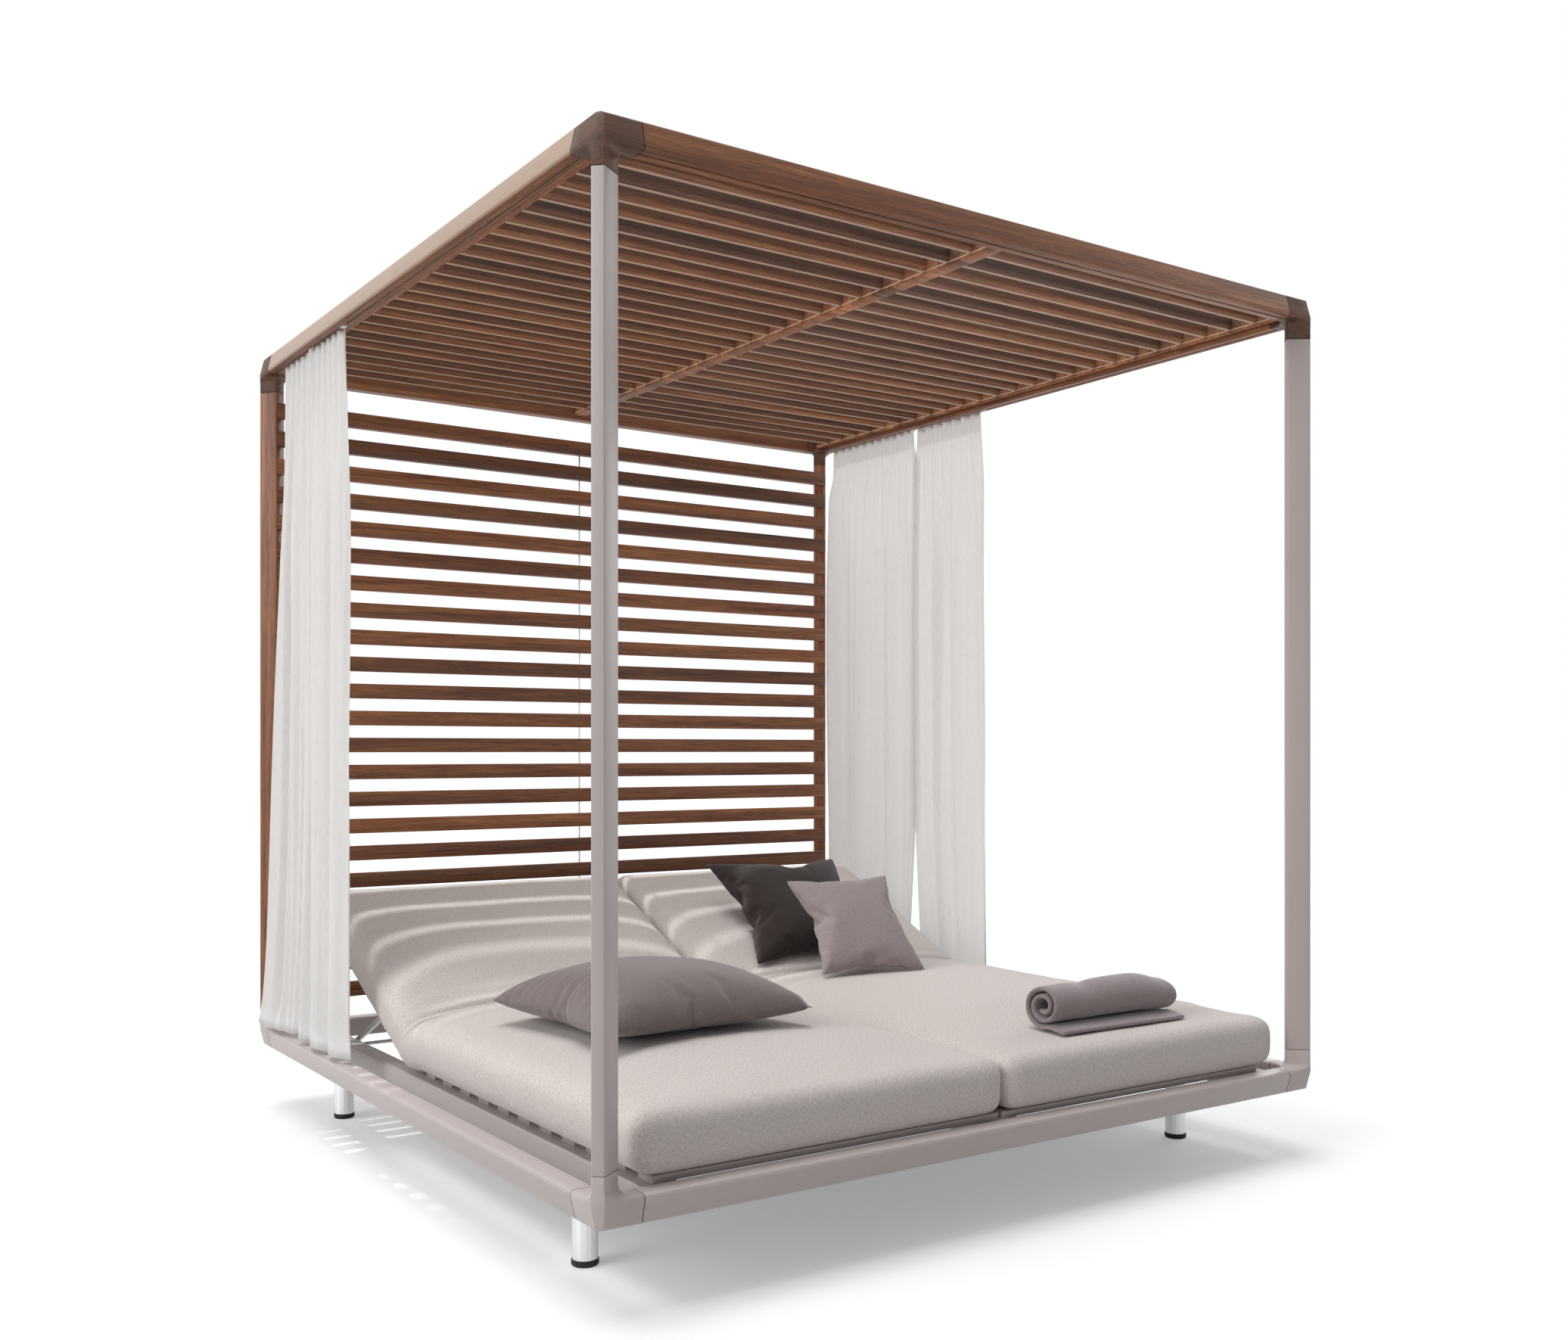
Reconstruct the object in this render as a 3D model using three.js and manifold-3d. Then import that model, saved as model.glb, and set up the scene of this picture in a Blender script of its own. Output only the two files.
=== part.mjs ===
// Outdoor daybed with a canopy, in millimetres, +Z up, +Y to the rear, +X to the right.
// The origin is on the ground, below the middle of the frame.
// Every member of the frame leans or turns its outer face inwards, and the members of a
// corner meet in one block, so most outlines are written as distances from a corner.

import * as THREE from 'three';
import { mergeVertices } from 'three/addons/utils/BufferGeometryUtils.js';
import Module from 'manifold-3d';

const wasm = await Module();
wasm.setup();

// Frame
const frame_width = 2000;
const frame_depth = 2080;
const frame_height = 1959;
const ground_clearance = 167;
const corner_reach = 98;
const seam = 0.3;
const joint_gap = 1.2;
const fit = 0.4;

// Perimeter beam section, measured from the outer face
const beam_width = 48;
const beam_height = 55;
const beam_lean = 10.4;
const widest_height = 45;
const beam_outer_radius = 8;
const beam_inner_radius = 4;
const tube_wall = 3;

// Post section, a tapered bar turned 45 degrees: distances from the two outer faces
const facet_reach = 17.5;
const post_far = 66;
const post_near = 34;
const post_inner_radius = 6;
const post_outer_radius = 2;
const root_fillet = 14;
const gusset_reach = 26;
const spigot_length = 40;
const post_tenon_wall = 9;
const beam_tenon_wall = 14;
const beam_tenon_low = 20;

// Canopy
const louvre_count = 24;
const louvre_height = 34;
const louvre_thickness = 10;
const louvre_lip = 13;
const louvre_tilt = THREE.MathUtils.degToRad(45);
const louvre_nose = 8.7;
const louvre_seat = 6;
const nose_steps = 3;
const rib_width = 35;
const rib_height = 36;
const rib_rise = 12;
const comb_width = 14;
const notch_tight = 0.2;
const notch_play = 2;
const track_offset = 23;
const track_width = 16;
const track_height = 12;
const track_cover = 4;
const track_wall = 1.6;
const track_slot = 6;

// Rear slat wall
const wall_slat_count = 22;
const wall_slat_height = 43;
const wall_slat_thickness = 20;
const wall_slat_base = 121;
const wall_slat_top = 129.7;
const tie_rod_diameter = 4;

// Inner rails, legs and deck
const rail_width = 50;
const rail_height = 46;
const rail_top = 51;
const rail_inset = 118.5;
const rail_radius = 4;
const leg_diameter = 52;
const leg_wall = 2.5;
const leg_inset = 320;
const leg_flange_diameter = 46;
const leg_flange_thickness = 4;
const cap_height = 13;
const cap_lip = 1.5;
const cap_plug = 16;
const cap_radius = 3;
const deck_thickness = 14;
const deck_slat_width = 56;
const deck_overlap = 20;
const stringer_width = 20;
const stringer_height = 18;
const stringer_inset = 30;
const join_depth = 0.5;
const seat_slat_count = 11;
const deck_front_gap = 12;

// Backrest mechanism: the hinge, the stay's pivot and its foot make an isosceles triangle
const hinge_from_rear = 840;
const hinge_height = 18;
const backrest_rest_angle = THREE.MathUtils.degToRad(25);
const backrest_click = THREE.MathUtils.degToRad(12.5);
const click_count = 6;
const stay_length = 316;
const stay_thickness = 8;
const stay_height = 14;
const eye_diameter = 20;
const eye_radius = 9;
const foot_bar_diameter = 10;
const pin_diameter = 8;
const pin_clearance = 0.3;
const pin_engagement = 6;
const rack_width = 8;
const rack_gap = 0.5;
const rack_base = 6;
const tooth_depth = 4;
const tooth_length = 9;
const side_play = 2.2;
const member_width = 25;
const member_height = 20;
const member_wall = 2;
const member_rise = 11;
const backrest_frame_length = 690;
const backrest_slat_count = 6;
const backrest_slat_start = 70;
const lug_thickness = 8;
const boss_reach = 12;
const boss_width = 34;

// Mattresses and what lies on them
const mattress_side_inset = 112;
const mattress_gap = 8;
const mattress_front = 35;
const mattress_rear_inset = 140;
const mattress_side_height = 118;
const mattress_crown = 38;
const mattress_lift = 0.3;
const mattress_end_run = 400;
const mattress_end_shares = [
  { run: 0, side: 0.55, crown: 0 },
  { run: 0.0175, side: 0.8, crown: 0.05 },
  { run: 0.06, side: 0.94, crown: 0.1 },
  { run: 0.15, side: 1, crown: 0.15 },
  { run: 0.375, side: 1, crown: 0.35 },
  { run: 1, side: 1, crown: 1 },
];
const mattress_edge_radius = 40;
const mattress_bottom_radius = 18;
const fold_gap = 0.4;
const fold_side_inset = 12;
const fold_dip = 12;
const fold_clearance = THREE.MathUtils.degToRad(0.5);
const pillow_steps = 8;
const pillow_swell = 0.75;
const pillow_waist_share = 0.06;
const lying_pillow = {
  width: 590, length: 560, above: 95, below: 42, hand: -1, offset_share: 1.155, ahead: 580, rise: 42.5, lean: 0, turn: 2,
};
const dark_pillow = {
  width: 450, length: 450, above: 72, below: 24, hand: 1, offset_share: 0.875, behind: 130.3, rise: 138.3, lean: 37, turn: -7,
};
const pale_pillow = {
  width: 360, length: 360, above: 50, below: 45, hand: 1, offset_share: 0.863, ahead: 165, rise: 125.3, lean: 46, turn: -10,
};
const throw_length = 385;
const throw_width = 112;
const throw_height = 104;
const throw_offset_share = 0.964;
const throw_from_front = 180;
const throw_rise = 29.1;
const throw_ply = 7;
const throw_sag = 11;

// Curtains
const curtain_offset = 26;
const curtain_ply = 3;
const curtain_top_gap = 4;
const curtain_hem = 68;
const curtain_wave = 11;
const curtain_left = { rear: 160, middle: 425, front: 690, folds: 5 };
const curtain_right = { rear: 105, middle: 565, front: 900, folds: 6 };
const curtain_flare = 60;
const top_wave_share = 0.6;
const curtain_gap = 10;
const runner_length = 22;
const runner_play = 0.6;
const runner_stem = 4.4;

const arc_steps = 2;
const fine_steps = 1;
const round_steps = 16;
const pin_steps = 10;
const rod_steps = 6;
const wave_steps = 4;
const overrun = 5;

// Values that follow
const half_width = frame_width / 2;
const half_depth = frame_depth / 2;
const base_z = ground_clearance;
const top_z = base_z + frame_height;
const beam_inner = beam_width + seam;
const lean_slope = beam_lean / widest_height;
const facet_slope = Math.SQRT2 * lean_slope;
const wall_slat_span = frame_height - wall_slat_base - wall_slat_top - wall_slat_height;
const wall_slat_pitch = wall_slat_span / (wall_slat_count - 1);
const hinge_y = half_depth - hinge_from_rear;
const hinge_z = base_z + hinge_height;
const deck_bottom = rail_top + seam;
const deck_top = deck_bottom + deck_thickness;
const mattress_width = half_width - mattress_side_inset - mattress_gap / 2;
const bed_offset = (mattress_width + mattress_gap) / 2;
const mattress_top = base_z + deck_top + mattress_side_height + mattress_crown;
const rail_centre = half_width - rail_inset - rail_width / 2;
const bay_outer = rail_centre - rail_width / 2;
const bay_inner = rail_width / 2;
const bay_centre = (bay_outer + bay_inner) / 2;
const bay_half = (bay_outer - bay_inner) / 2;
const backrest_flat = -backrest_rest_angle;
const backrest_full = backrest_click * (click_count - 1);
const louvre_pitch = (frame_depth - 2 * beam_width) / (louvre_count + 1);
const track_z = top_z - beam_height + track_cover + fit / 2;

// Finishes
const finishes = {
  taupe: { color: 0x9a908c, roughness: 0.5, metalness: 0.2 },
  timber: { color: 0x6e4a35, roughness: 0.65, metalness: 0 },
  steel: { color: 0xb4b2b0, roughness: 0.35, metalness: 0.9 },
  silver: { color: 0xc4c5c8, roughness: 0.35, metalness: 0.8 },
  black: { color: 0x1c1b1b, roughness: 0.7, metalness: 0 },
  mattress: { color: 0xbfb6ad, roughness: 0.95, metalness: 0 },
  curtain: { color: 0xefeeec, roughness: 0.95, metalness: 0 },
  dark: { color: 0x574d49, roughness: 0.9, metalness: 0 },
  pale: { color: 0xaaa3a3, roughness: 0.9, metalness: 0 },
  satin: { color: 0x8d8380, roughness: 0.75, metalness: 0 },
  throw: { color: 0x857b79, roughness: 0.95, metalness: 0 },
  nylon: { color: 0xe6e4e0, roughness: 0.5, metalness: 0 },
};

const daybed = new THREE.Group();

// Outlines

// Rounds the corners of a polygon whose points are [x, y, radius, facets of the round].
function softOutline(corners) {
  const outline = [];
  corners.forEach(([x, y, radius = 0, steps = arc_steps], index) => {
    const corner = new THREE.Vector2(x, y);
    if (radius === 0) {
      outline.push(corner);
      return;
    }
    const before = corners[(index + corners.length - 1) % corners.length];
    const after = corners[(index + 1) % corners.length];
    const toBefore = new THREE.Vector2(before[0] - x, before[1] - y).normalize();
    const toAfter = new THREE.Vector2(after[0] - x, after[1] - y).normalize();
    const half = Math.acos(toBefore.dot(toAfter)) / 2;
    const bisector = toBefore.clone().add(toAfter).normalize();
    const centre = corner.clone().addScaledVector(bisector, radius / Math.sin(half));
    const start = corner.clone().addScaledVector(toBefore, radius / Math.tan(half)).sub(centre);
    const end = corner.clone().addScaledVector(toAfter, radius / Math.tan(half)).sub(centre);
    const turn = Math.atan2(start.cross(end), start.dot(end));
    for (let step = 0; step <= steps; step += 1) {
      const angle = (turn * step) / steps;
      outline.push(start.clone().rotateAround(new THREE.Vector2(), angle).add(centre));
    }
  });
  return outline;
}

// Moves each side of a convex counter-clockwise polygon inwards, or outwards if negative.
function insetCorners(corners, distance) {
  const sides = corners.map(([x, y], index) => {
    const [nextX, nextY] = corners[(index + 1) % corners.length];
    const along = new THREE.Vector2(nextX - x, nextY - y).normalize();
    const inward = new THREE.Vector2(-along.y, along.x);
    return { point: new THREE.Vector2(x, y).addScaledVector(inward, distance), along };
  });
  return corners.map(([, , radius = 0, steps = arc_steps], index) => {
    const before = sides[(index + sides.length - 1) % sides.length];
    const after = sides[index];
    const between = after.point.clone().sub(before.point);
    const reach = between.cross(after.along) / before.along.cross(after.along);
    const corner = before.point.clone().addScaledVector(before.along, reach);
    return [corner.x, corner.y, Math.max(radius - distance, 0), steps];
  });
}

function rectangle(x0, y0, x1, y1, radius = 0) {
  return [[x0, y0], [x1, y0], [x1, y1], [x0, y1]].map(([x, y]) => [x, y, radius, fine_steps]);
}

function circle(x, y, diameter, steps = pin_steps) {
  const outline = [];
  for (let step = 0; step < steps; step += 1) {
    const angle = (2 * Math.PI * step) / steps;
    outline.push(new THREE.Vector2(x + (diameter / 2) * Math.cos(angle), y + (diameter / 2) * Math.sin(angle)));
  }
  return outline;
}

// Solids

function solidOf(geometry) {
  geometry.deleteAttribute('normal');
  geometry.deleteAttribute('uv');
  const welded = mergeVertices(geometry);
  const vertProperties = welded.attributes.position.array;
  const triVerts = Uint32Array.from(welded.index.array);
  return new wasm.Manifold(new wasm.Mesh({ numProp: 3, vertProperties, triVerts }));
}

function geometryOf(solid) {
  const mesh = solid.getMesh();
  const geometry = new THREE.BufferGeometry();
  geometry.setAttribute('position', new THREE.BufferAttribute(mesh.vertProperties, 3));
  geometry.setIndex(new THREE.BufferAttribute(mesh.triVerts, 1));
  geometry.computeVertexNormals();
  return geometry;
}

function extrusion(outline, length, hole, axes, start) {
  const shape = new THREE.Shape(outline);
  if (hole) {
    shape.holes.push(new THREE.Path(hole));
  }
  const geometry = new THREE.ExtrudeGeometry(shape, { depth: length, bevelEnabled: false, curveSegments: 1 });
  geometry.applyMatrix4(new THREE.Matrix4().makeBasis(...axes).setPosition(start));
  return solidOf(geometry);
}

const axis_x = new THREE.Vector3(1, 0, 0);
const axis_y = new THREE.Vector3(0, 1, 0);
const axis_z = new THREE.Vector3(0, 0, 1);
const axis_front = new THREE.Vector3(0, -1, 0);

// An outline of (y, z) points swept along X.
function alongX(outline, from, to, hole) {
  return extrusion(outline, to - from, hole, [axis_y, axis_z, axis_x], new THREE.Vector3(from, 0, 0));
}

// An outline of (x, z) points swept along Y.
function alongY(outline, from, to, hole) {
  return extrusion(outline, to - from, hole, [axis_x, axis_z, axis_front], new THREE.Vector3(0, to, 0));
}

// An outline of (x, y) points swept along Z.
function alongZ(outline, from, to, hole) {
  return extrusion(outline, to - from, hole, [axis_x, axis_y, axis_z], new THREE.Vector3(0, 0, from));
}

// A closed skin through rings that all have the same number of points.
function loft(rings) {
  const count = rings[0].length;
  const positions = rings.flat().flatMap((point) => point.toArray());
  const faces = [];
  for (let ring = 0; ring + 1 < rings.length; ring += 1) {
    for (let point = 0; point < count; point += 1) {
      const a = ring * count + point;
      const b = ring * count + ((point + 1) % count);
      faces.push(a, b, b + count, a, b + count, a + count);
    }
  }
  const flat = rings[0].map((point) => planePoint(rings[0], point));
  const cap = THREE.ShapeUtils.triangulateShape(flat, []);
  const last = (rings.length - 1) * count;
  cap.forEach(([a, b, c]) => {
    faces.push(a, c, b);
    faces.push(last + a, last + b, last + c);
  });
  const geometry = new THREE.BufferGeometry();
  geometry.setAttribute('position', new THREE.Float32BufferAttribute(positions, 3));
  geometry.setIndex(faces);
  return solidOf(geometry);
}

// The two coordinates in which a ring is widest: rings lie across Z or across Y.
function planePoint(ring, point) {
  const level = ring.every((other) => other.z === ring[0].z);
  return level ? new THREE.Vector2(point.x, point.y) : new THREE.Vector2(point.z, point.x);
}

function ringAtZ(outline, z) {
  return outline.map((point) => new THREE.Vector3(point.x, point.y, z));
}

function ringAtY(outline, y) {
  return outline.map((point) => new THREE.Vector3(point.x, y, point.y)).reverse();
}

function cylinderX(y, z, diameter, from, to) {
  return alongX(circle(y, z, diameter), from, to);
}

function revolve(profile, x, y, z) {
  const geometry = new THREE.LatheGeometry(profile, round_steps);
  geometry.rotateX(Math.PI / 2);
  geometry.translate(x, y, z);
  return solidOf(geometry);
}

function joined(solids) {
  return solids.reduce((whole, solid) => whole.add(solid));
}

// Adds one named piece, made of one solid or of several that don't touch.
function piece(name, solid, finish, parent = daybed, place = {}) {
  const mesh = new THREE.Mesh(geometryOf(solid), new THREE.MeshStandardMaterial(finishes[finish]));
  mesh.name = name;
  mesh.position.set(place.x ?? 0, place.y ?? 0, place.z ?? 0);
  mesh.rotation.z = place.turn ?? 0;
  if (place.upsideDown) {
    mesh.quaternion.multiply(place.upsideDown);
  }
  parent.add(mesh);
  return mesh;
}

// Sections of the frame's members

const beam_corners = [
  [beam_lean, 0, beam_inner_radius, fine_steps],
  [beam_width, 0, beam_inner_radius, fine_steps],
  [beam_width, beam_height, beam_inner_radius, fine_steps],
  [0, beam_height, beam_outer_radius],
  [0, widest_height, 0],
];

const post_corners = [
  [facet_reach, 0, post_outer_radius, fine_steps],
  [post_far, post_near, post_inner_radius],
  [post_near, post_far, post_inner_radius],
  [0, facet_reach, post_outer_radius, fine_steps],
];

// Timber beams are mortised and take a plain square-cornered tenon.
const beam_tenon_corners = rectangle(
  beam_lean + beam_tenon_wall, beam_tenon_wall,
  beam_width - beam_tenon_wall, beam_height - beam_tenon_low,
);
const post_tenon_corners = insetCorners(post_corners, post_tenon_wall);
const beam_plug_corners = insetCorners(beam_corners, tube_wall + fit);
const post_plug_corners = insetCorners(post_corners, tube_wall + fit);

function section(corners, inset = 0) {
  return softOutline(inset === 0 ? corners : insetCorners(corners, inset));
}

// Corner blocks

// Everything behind the two leaning outer faces that meet at a corner.
function cornerEnvelope() {
  const reach = corner_reach + spigot_length + overrun;
  const face = softOutline([
    [beam_lean, 0, beam_inner_radius, fine_steps],
    [reach, 0],
    [reach, beam_height],
    [0, beam_height, beam_outer_radius],
    [0, widest_height],
  ]);
  return alongX(face, -overrun, reach).intersect(alongY(face, -overrun, reach));
}

// Everything behind the corner's 45 degree facet, which leans in below the widest line.
function facetEnvelope() {
  const reach = corner_reach + spigot_length + overrun;
  const levels = [
    [-overrun, facet_reach + facet_slope * (widest_height + overrun)],
    [widest_height, facet_reach],
    [reach, facet_reach],
  ];
  return loft(levels.map(([z, cut]) => {
    const middle = cut / 2;
    const outline = [
      new THREE.Vector2(middle + reach, middle - reach),
      new THREE.Vector2(middle + 2 * reach, middle),
      new THREE.Vector2(middle, middle + 2 * reach),
      new THREE.Vector2(middle - reach, middle + reach),
    ];
    return ringAtZ(outline, z);
  }));
}

// The concave root where the post grows out of the two arms.
function postRoot() {
  const levels = 3;
  const rings = [];
  const start = beam_height - beam_outer_radius;
  rings.push(ringAtZ(section(post_corners, -root_fillet), start));
  for (let level = 0; level <= levels; level += 1) {
    const angle = (Math.PI / 2) * (level / levels);
    const spread = root_fillet * (1 - Math.sin(angle));
    const height = root_fillet * (1 - Math.cos(angle));
    rings.push(ringAtZ(section(post_corners, -spread), beam_height + height));
  }
  return loft(rings);
}

// A block with two arms and a post stub, each ending in a spigot.
function cornerBlock(armPlug, postPlug) {
  const arm = section(beam_corners);
  const armEnd = corner_reach - joint_gap / 2;
  const arms = alongX(arm, 0, armEnd).add(alongY(arm, 0, armEnd));
  const gusset_far = beam_width + gusset_reach;
  const gusset = softOutline([[beam_lean * 2, beam_lean * 2], [gusset_far, beam_lean * 2], [beam_lean * 2, gusset_far]]);
  const body = arms.add(alongZ(gusset, 0, beam_height)).intersect(cornerEnvelope());
  const outside = new THREE.Vector2(corner_reach, corner_reach);
  const quarter = alongZ(softOutline(rectangle(0, 0, outside.x, outside.y)), 0, corner_reach);
  const stub = alongZ(section(post_corners), widest_height, armEnd);
  const upper = stub.add(postRoot().intersect(quarter));
  const block = body.add(upper).intersect(facetEnvelope());
  const plug = section(armPlug);
  const plugEnd = corner_reach + spigot_length;
  const sunk = armEnd - overrun;
  const spigots = alongX(plug, sunk, plugEnd).add(alongY(plug, sunk, plugEnd));
  return block.add(spigots).add(alongZ(section(postPlug), sunk, plugEnd));
}

const corner_turns = { front_left: 0, front_right: 1, rear_right: 2, rear_left: 3 };
const upside_down = new THREE.Quaternion().setFromAxisAngle(new THREE.Vector3(1, 1, 0).normalize(), Math.PI);

function cornerPlace(turns) {
  const right = turns === 1 || turns === 2;
  const rear = turns >= 2;
  return {
    x: right ? half_width : -half_width,
    y: rear ? half_depth : -half_depth,
    turn: (turns * Math.PI) / 2,
  };
}

function addCorners() {
  const base = {
    front: cornerBlock(beam_plug_corners, post_plug_corners),
    rear: cornerBlock(beam_plug_corners, post_tenon_corners),
  };
  const roof = {
    front: cornerBlock(beam_tenon_corners, post_plug_corners),
    rear: cornerBlock(beam_tenon_corners, post_tenon_corners),
  };
  Object.entries(corner_turns).forEach(([name, turns]) => {
    const end = name.split('_')[0];
    const place = cornerPlace(turns);
    piece(`base_corner_${name}`, base[end], 'taupe', daybed, { ...place, z: base_z });
    const above = { ...place, z: top_z, upsideDown: upside_down };
    piece(`roof_corner_${name}`, roof[end], 'timber', daybed, above);
  });
}

// Posts

function addPosts() {
  const from = base_z + corner_reach + joint_gap / 2;
  const to = top_z - corner_reach - joint_gap / 2;
  const tube = alongZ(section(post_corners), from, to, section(post_corners, tube_wall));
  const mortise = section(post_tenon_corners, -fit);
  const deep = spigot_length + fit;
  const timber = alongZ(section(post_corners), from, to)
    .subtract(alongZ(mortise, from - overrun, from + deep))
    .subtract(alongZ(mortise, to - deep, to + overrun));
  Object.entries(corner_turns).forEach(([name, turns]) => {
    const front = name.startsWith('front');
    piece(`post_${name}`, front ? tube : timber, front ? 'taupe' : 'timber', daybed, cornerPlace(turns));
  });
}

// Perimeter beams, each made as the front one and turned about Z

const sides = {
  front: { turn: 0, length: frame_width, out: half_depth },
  right: { turn: 1, length: frame_depth, out: half_width },
  rear: { turn: 2, length: frame_width, out: half_depth },
  left: { turn: 3, length: frame_depth, out: half_width },
};

function beamEnd(length) {
  return length / 2 - corner_reach - joint_gap / 2;
}

function beamPlace({ turn, out }, z) {
  const angle = (turn * Math.PI) / 2;
  return { x: out * Math.sin(angle), y: -out * Math.cos(angle), z, turn: angle };
}

function addBaseBeams() {
  Object.entries(sides).forEach(([name, side]) => {
    const end = beamEnd(side.length);
    const tube = alongX(section(beam_corners), -end, end, section(beam_corners, tube_wall));
    piece(`base_beam_${name}`, tube, 'taupe', daybed, beamPlace(side, base_z));
  });
}

// The roof beam is the base beam's section upside down, with mortises in its ends.
function roofBeam(length, grooved) {
  const end = beamEnd(length);
  const flipped = (corners) => corners.map(([y, z, radius, steps]) => [y, -z, radius, steps]).reverse();
  const mortise = section(flipped(beam_tenon_corners), -fit);
  const deep = spigot_length + fit;
  let beam = alongX(section(flipped(beam_corners)), -end, end)
    .subtract(alongX(mortise, -end - overrun, deep - end))
    .subtract(alongX(mortise, end - deep, end + overrun));
  if (grooved) {
    const half = track_width / 2 + fit;
    const low = track_cover - beam_height;
    const groove = rectangle(track_offset - half, low, track_offset + half, low + track_height + fit);
    const slot = rectangle(
      track_offset - track_slot / 2, -beam_height - overrun, track_offset + track_slot / 2, low + fit,
    );
    [groove, slot].forEach((cut) => {
      beam = beam.subtract(alongX(softOutline(cut), -end - overrun, end + overrun));
    });
  }
  return beam;
}

function addRoofBeams() {
  Object.entries(sides).forEach(([name, side]) => {
    piece(`roof_beam_${name}`, roofBeam(side.length, name !== 'rear'), 'timber', daybed, beamPlace(side, top_z));
  });
}

// A C-shaped curtain track above the slot in the beam's underside, its own slot facing down.
function addTracks() {
  const half = track_width / 2;
  const slot = track_slot / 2;
  const outline = softOutline([
    [track_offset - slot, 0],
    [track_offset - slot, track_wall],
    [track_offset - half + track_wall, track_wall],
    [track_offset - half + track_wall, track_height - track_wall],
    [track_offset + half - track_wall, track_height - track_wall],
    [track_offset + half - track_wall, track_wall],
    [track_offset + slot, track_wall],
    [track_offset + slot, 0],
    [track_offset + half, 0],
    [track_offset + half, track_height],
    [track_offset - half, track_height],
    [track_offset - half, 0],
  ]);
  ['front', 'right', 'left'].forEach((name) => {
    const end = beamEnd(sides[name].length) - seam;
    const track = alongX(outline, -end, end);
    piece(`curtain_track_${name}`, track, 'steel', daybed, beamPlace(sides[name], track_z));
  });
}

// Canopy louvres with the notched combs and rib that carry them

// The middle of a louvre's rounded lower edge.
const louvre_z = top_z - beam_height + rib_rise + louvre_seat + louvre_thickness / 2;

// A hooked section of (y, z) points: an upright web with a lip that slopes down to the rear
// and ends in a round. A notch for it is tight in front, where it is glued, and open behind.
function louvreOutline(y, tight = 0, play = 0, rise = 0) {
  const radius = louvre_thickness / 2 - tight;
  const middle = new THREE.Vector2(y, louvre_z);
  const uphill = new THREE.Vector2(-Math.cos(louvre_tilt), Math.sin(louvre_tilt));
  const under = new THREE.Vector2(-Math.sin(louvre_tilt), -Math.cos(louvre_tilt));
  const front = y + under.x * (louvre_thickness / 2) + uphill.x * louvre_lip;
  const top = louvre_z + louvre_height - louvre_thickness / 2 + rise;
  const outline = [];
  for (let step = 0; step <= nose_steps; step += 1) {
    const spoke = under.clone().rotateAround(new THREE.Vector2(), (Math.PI * step) / nose_steps);
    outline.push(middle.clone().addScaledVector(spoke, radius));
  }
  const bend = (start, reach) => start.clone().addScaledVector(uphill, (reach - start.x) / uphill.x);
  const webFront = front + tight;
  const webRear = front + louvre_thickness + play;
  outline.push(bend(outline[nose_steps], webRear));
  outline.push(new THREE.Vector2(webRear, top), new THREE.Vector2(webFront, top));
  outline.push(bend(outline[0], webFront));
  return outline;
}

function louvreY(index) {
  return -half_depth + beam_width + louvre_pitch * (index + 1) + louvre_nose;
}

// The slats are housed in a bar at each side and notched into a rib at the middle.
function addLouvres() {
  const bottom = top_z - beam_height + rib_rise;
  const top = bottom + rib_height;
  const end = half_depth - beam_inner;
  const combFrom = half_width - beam_inner - comb_width;
  const combTo = half_width - beam_inner;
  const bar = (from, to) => alongY(softOutline(rectangle(from, bottom, to, top)), -end, end);
  const reach = combFrom + comb_width / 2;
  const half = rib_width / 2;
  const pieces = [bar(-combTo, -combFrom), bar(combFrom, combTo)];
  let rib = bar(-half, half);
  for (let index = 0; index < louvre_count; index += 1) {
    const y = louvreY(index);
    const notch = louvreOutline(y, notch_tight, notch_play, rib_height);
    rib = rib.subtract(alongX(notch, -half - overrun, half + overrun));
    pieces.push(alongX(louvreOutline(y), -reach, reach));
  }
  pieces.push(rib);
  piece('roof_louvre_panel', joined(pieces), 'timber');
}

// Rear wall: slats mitred onto the inner facets of the rear posts, tied by a rod behind them
function addRearWall() {
  const facet = post_far + post_near + seam * Math.SQRT2;
  const front = half_depth - post_far;
  const back = front + wall_slat_thickness;
  const frontEnd = half_width - (facet - post_far);
  const backEnd = frontEnd - wall_slat_thickness;
  const outline = softOutline([[-frontEnd, front], [frontEnd, front], [backEnd, back], [-backEnd, back]]);
  const slats = [];
  for (let index = 0; index < wall_slat_count; index += 1) {
    const low = base_z + wall_slat_base + index * wall_slat_pitch;
    slats.push(alongZ(outline, low, low + wall_slat_height));
  }
  const low = base_z + wall_slat_base + wall_slat_height / 4;
  const high = low + (wall_slat_count - 1) * wall_slat_pitch + wall_slat_height / 2;
  const rodY = back - join_depth + tie_rod_diameter / 2;
  slats.push(alongZ(circle(0, rodY, tie_rod_diameter, rod_steps), low, high));
  piece('rear_wall_panel', joined(slats), 'timber');
}

// Inner rails with the hinge bosses and the toothed racks of the backrest stays

function footY(angle) {
  return hinge_y + 2 * stay_length * Math.cos(angle);
}

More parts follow.
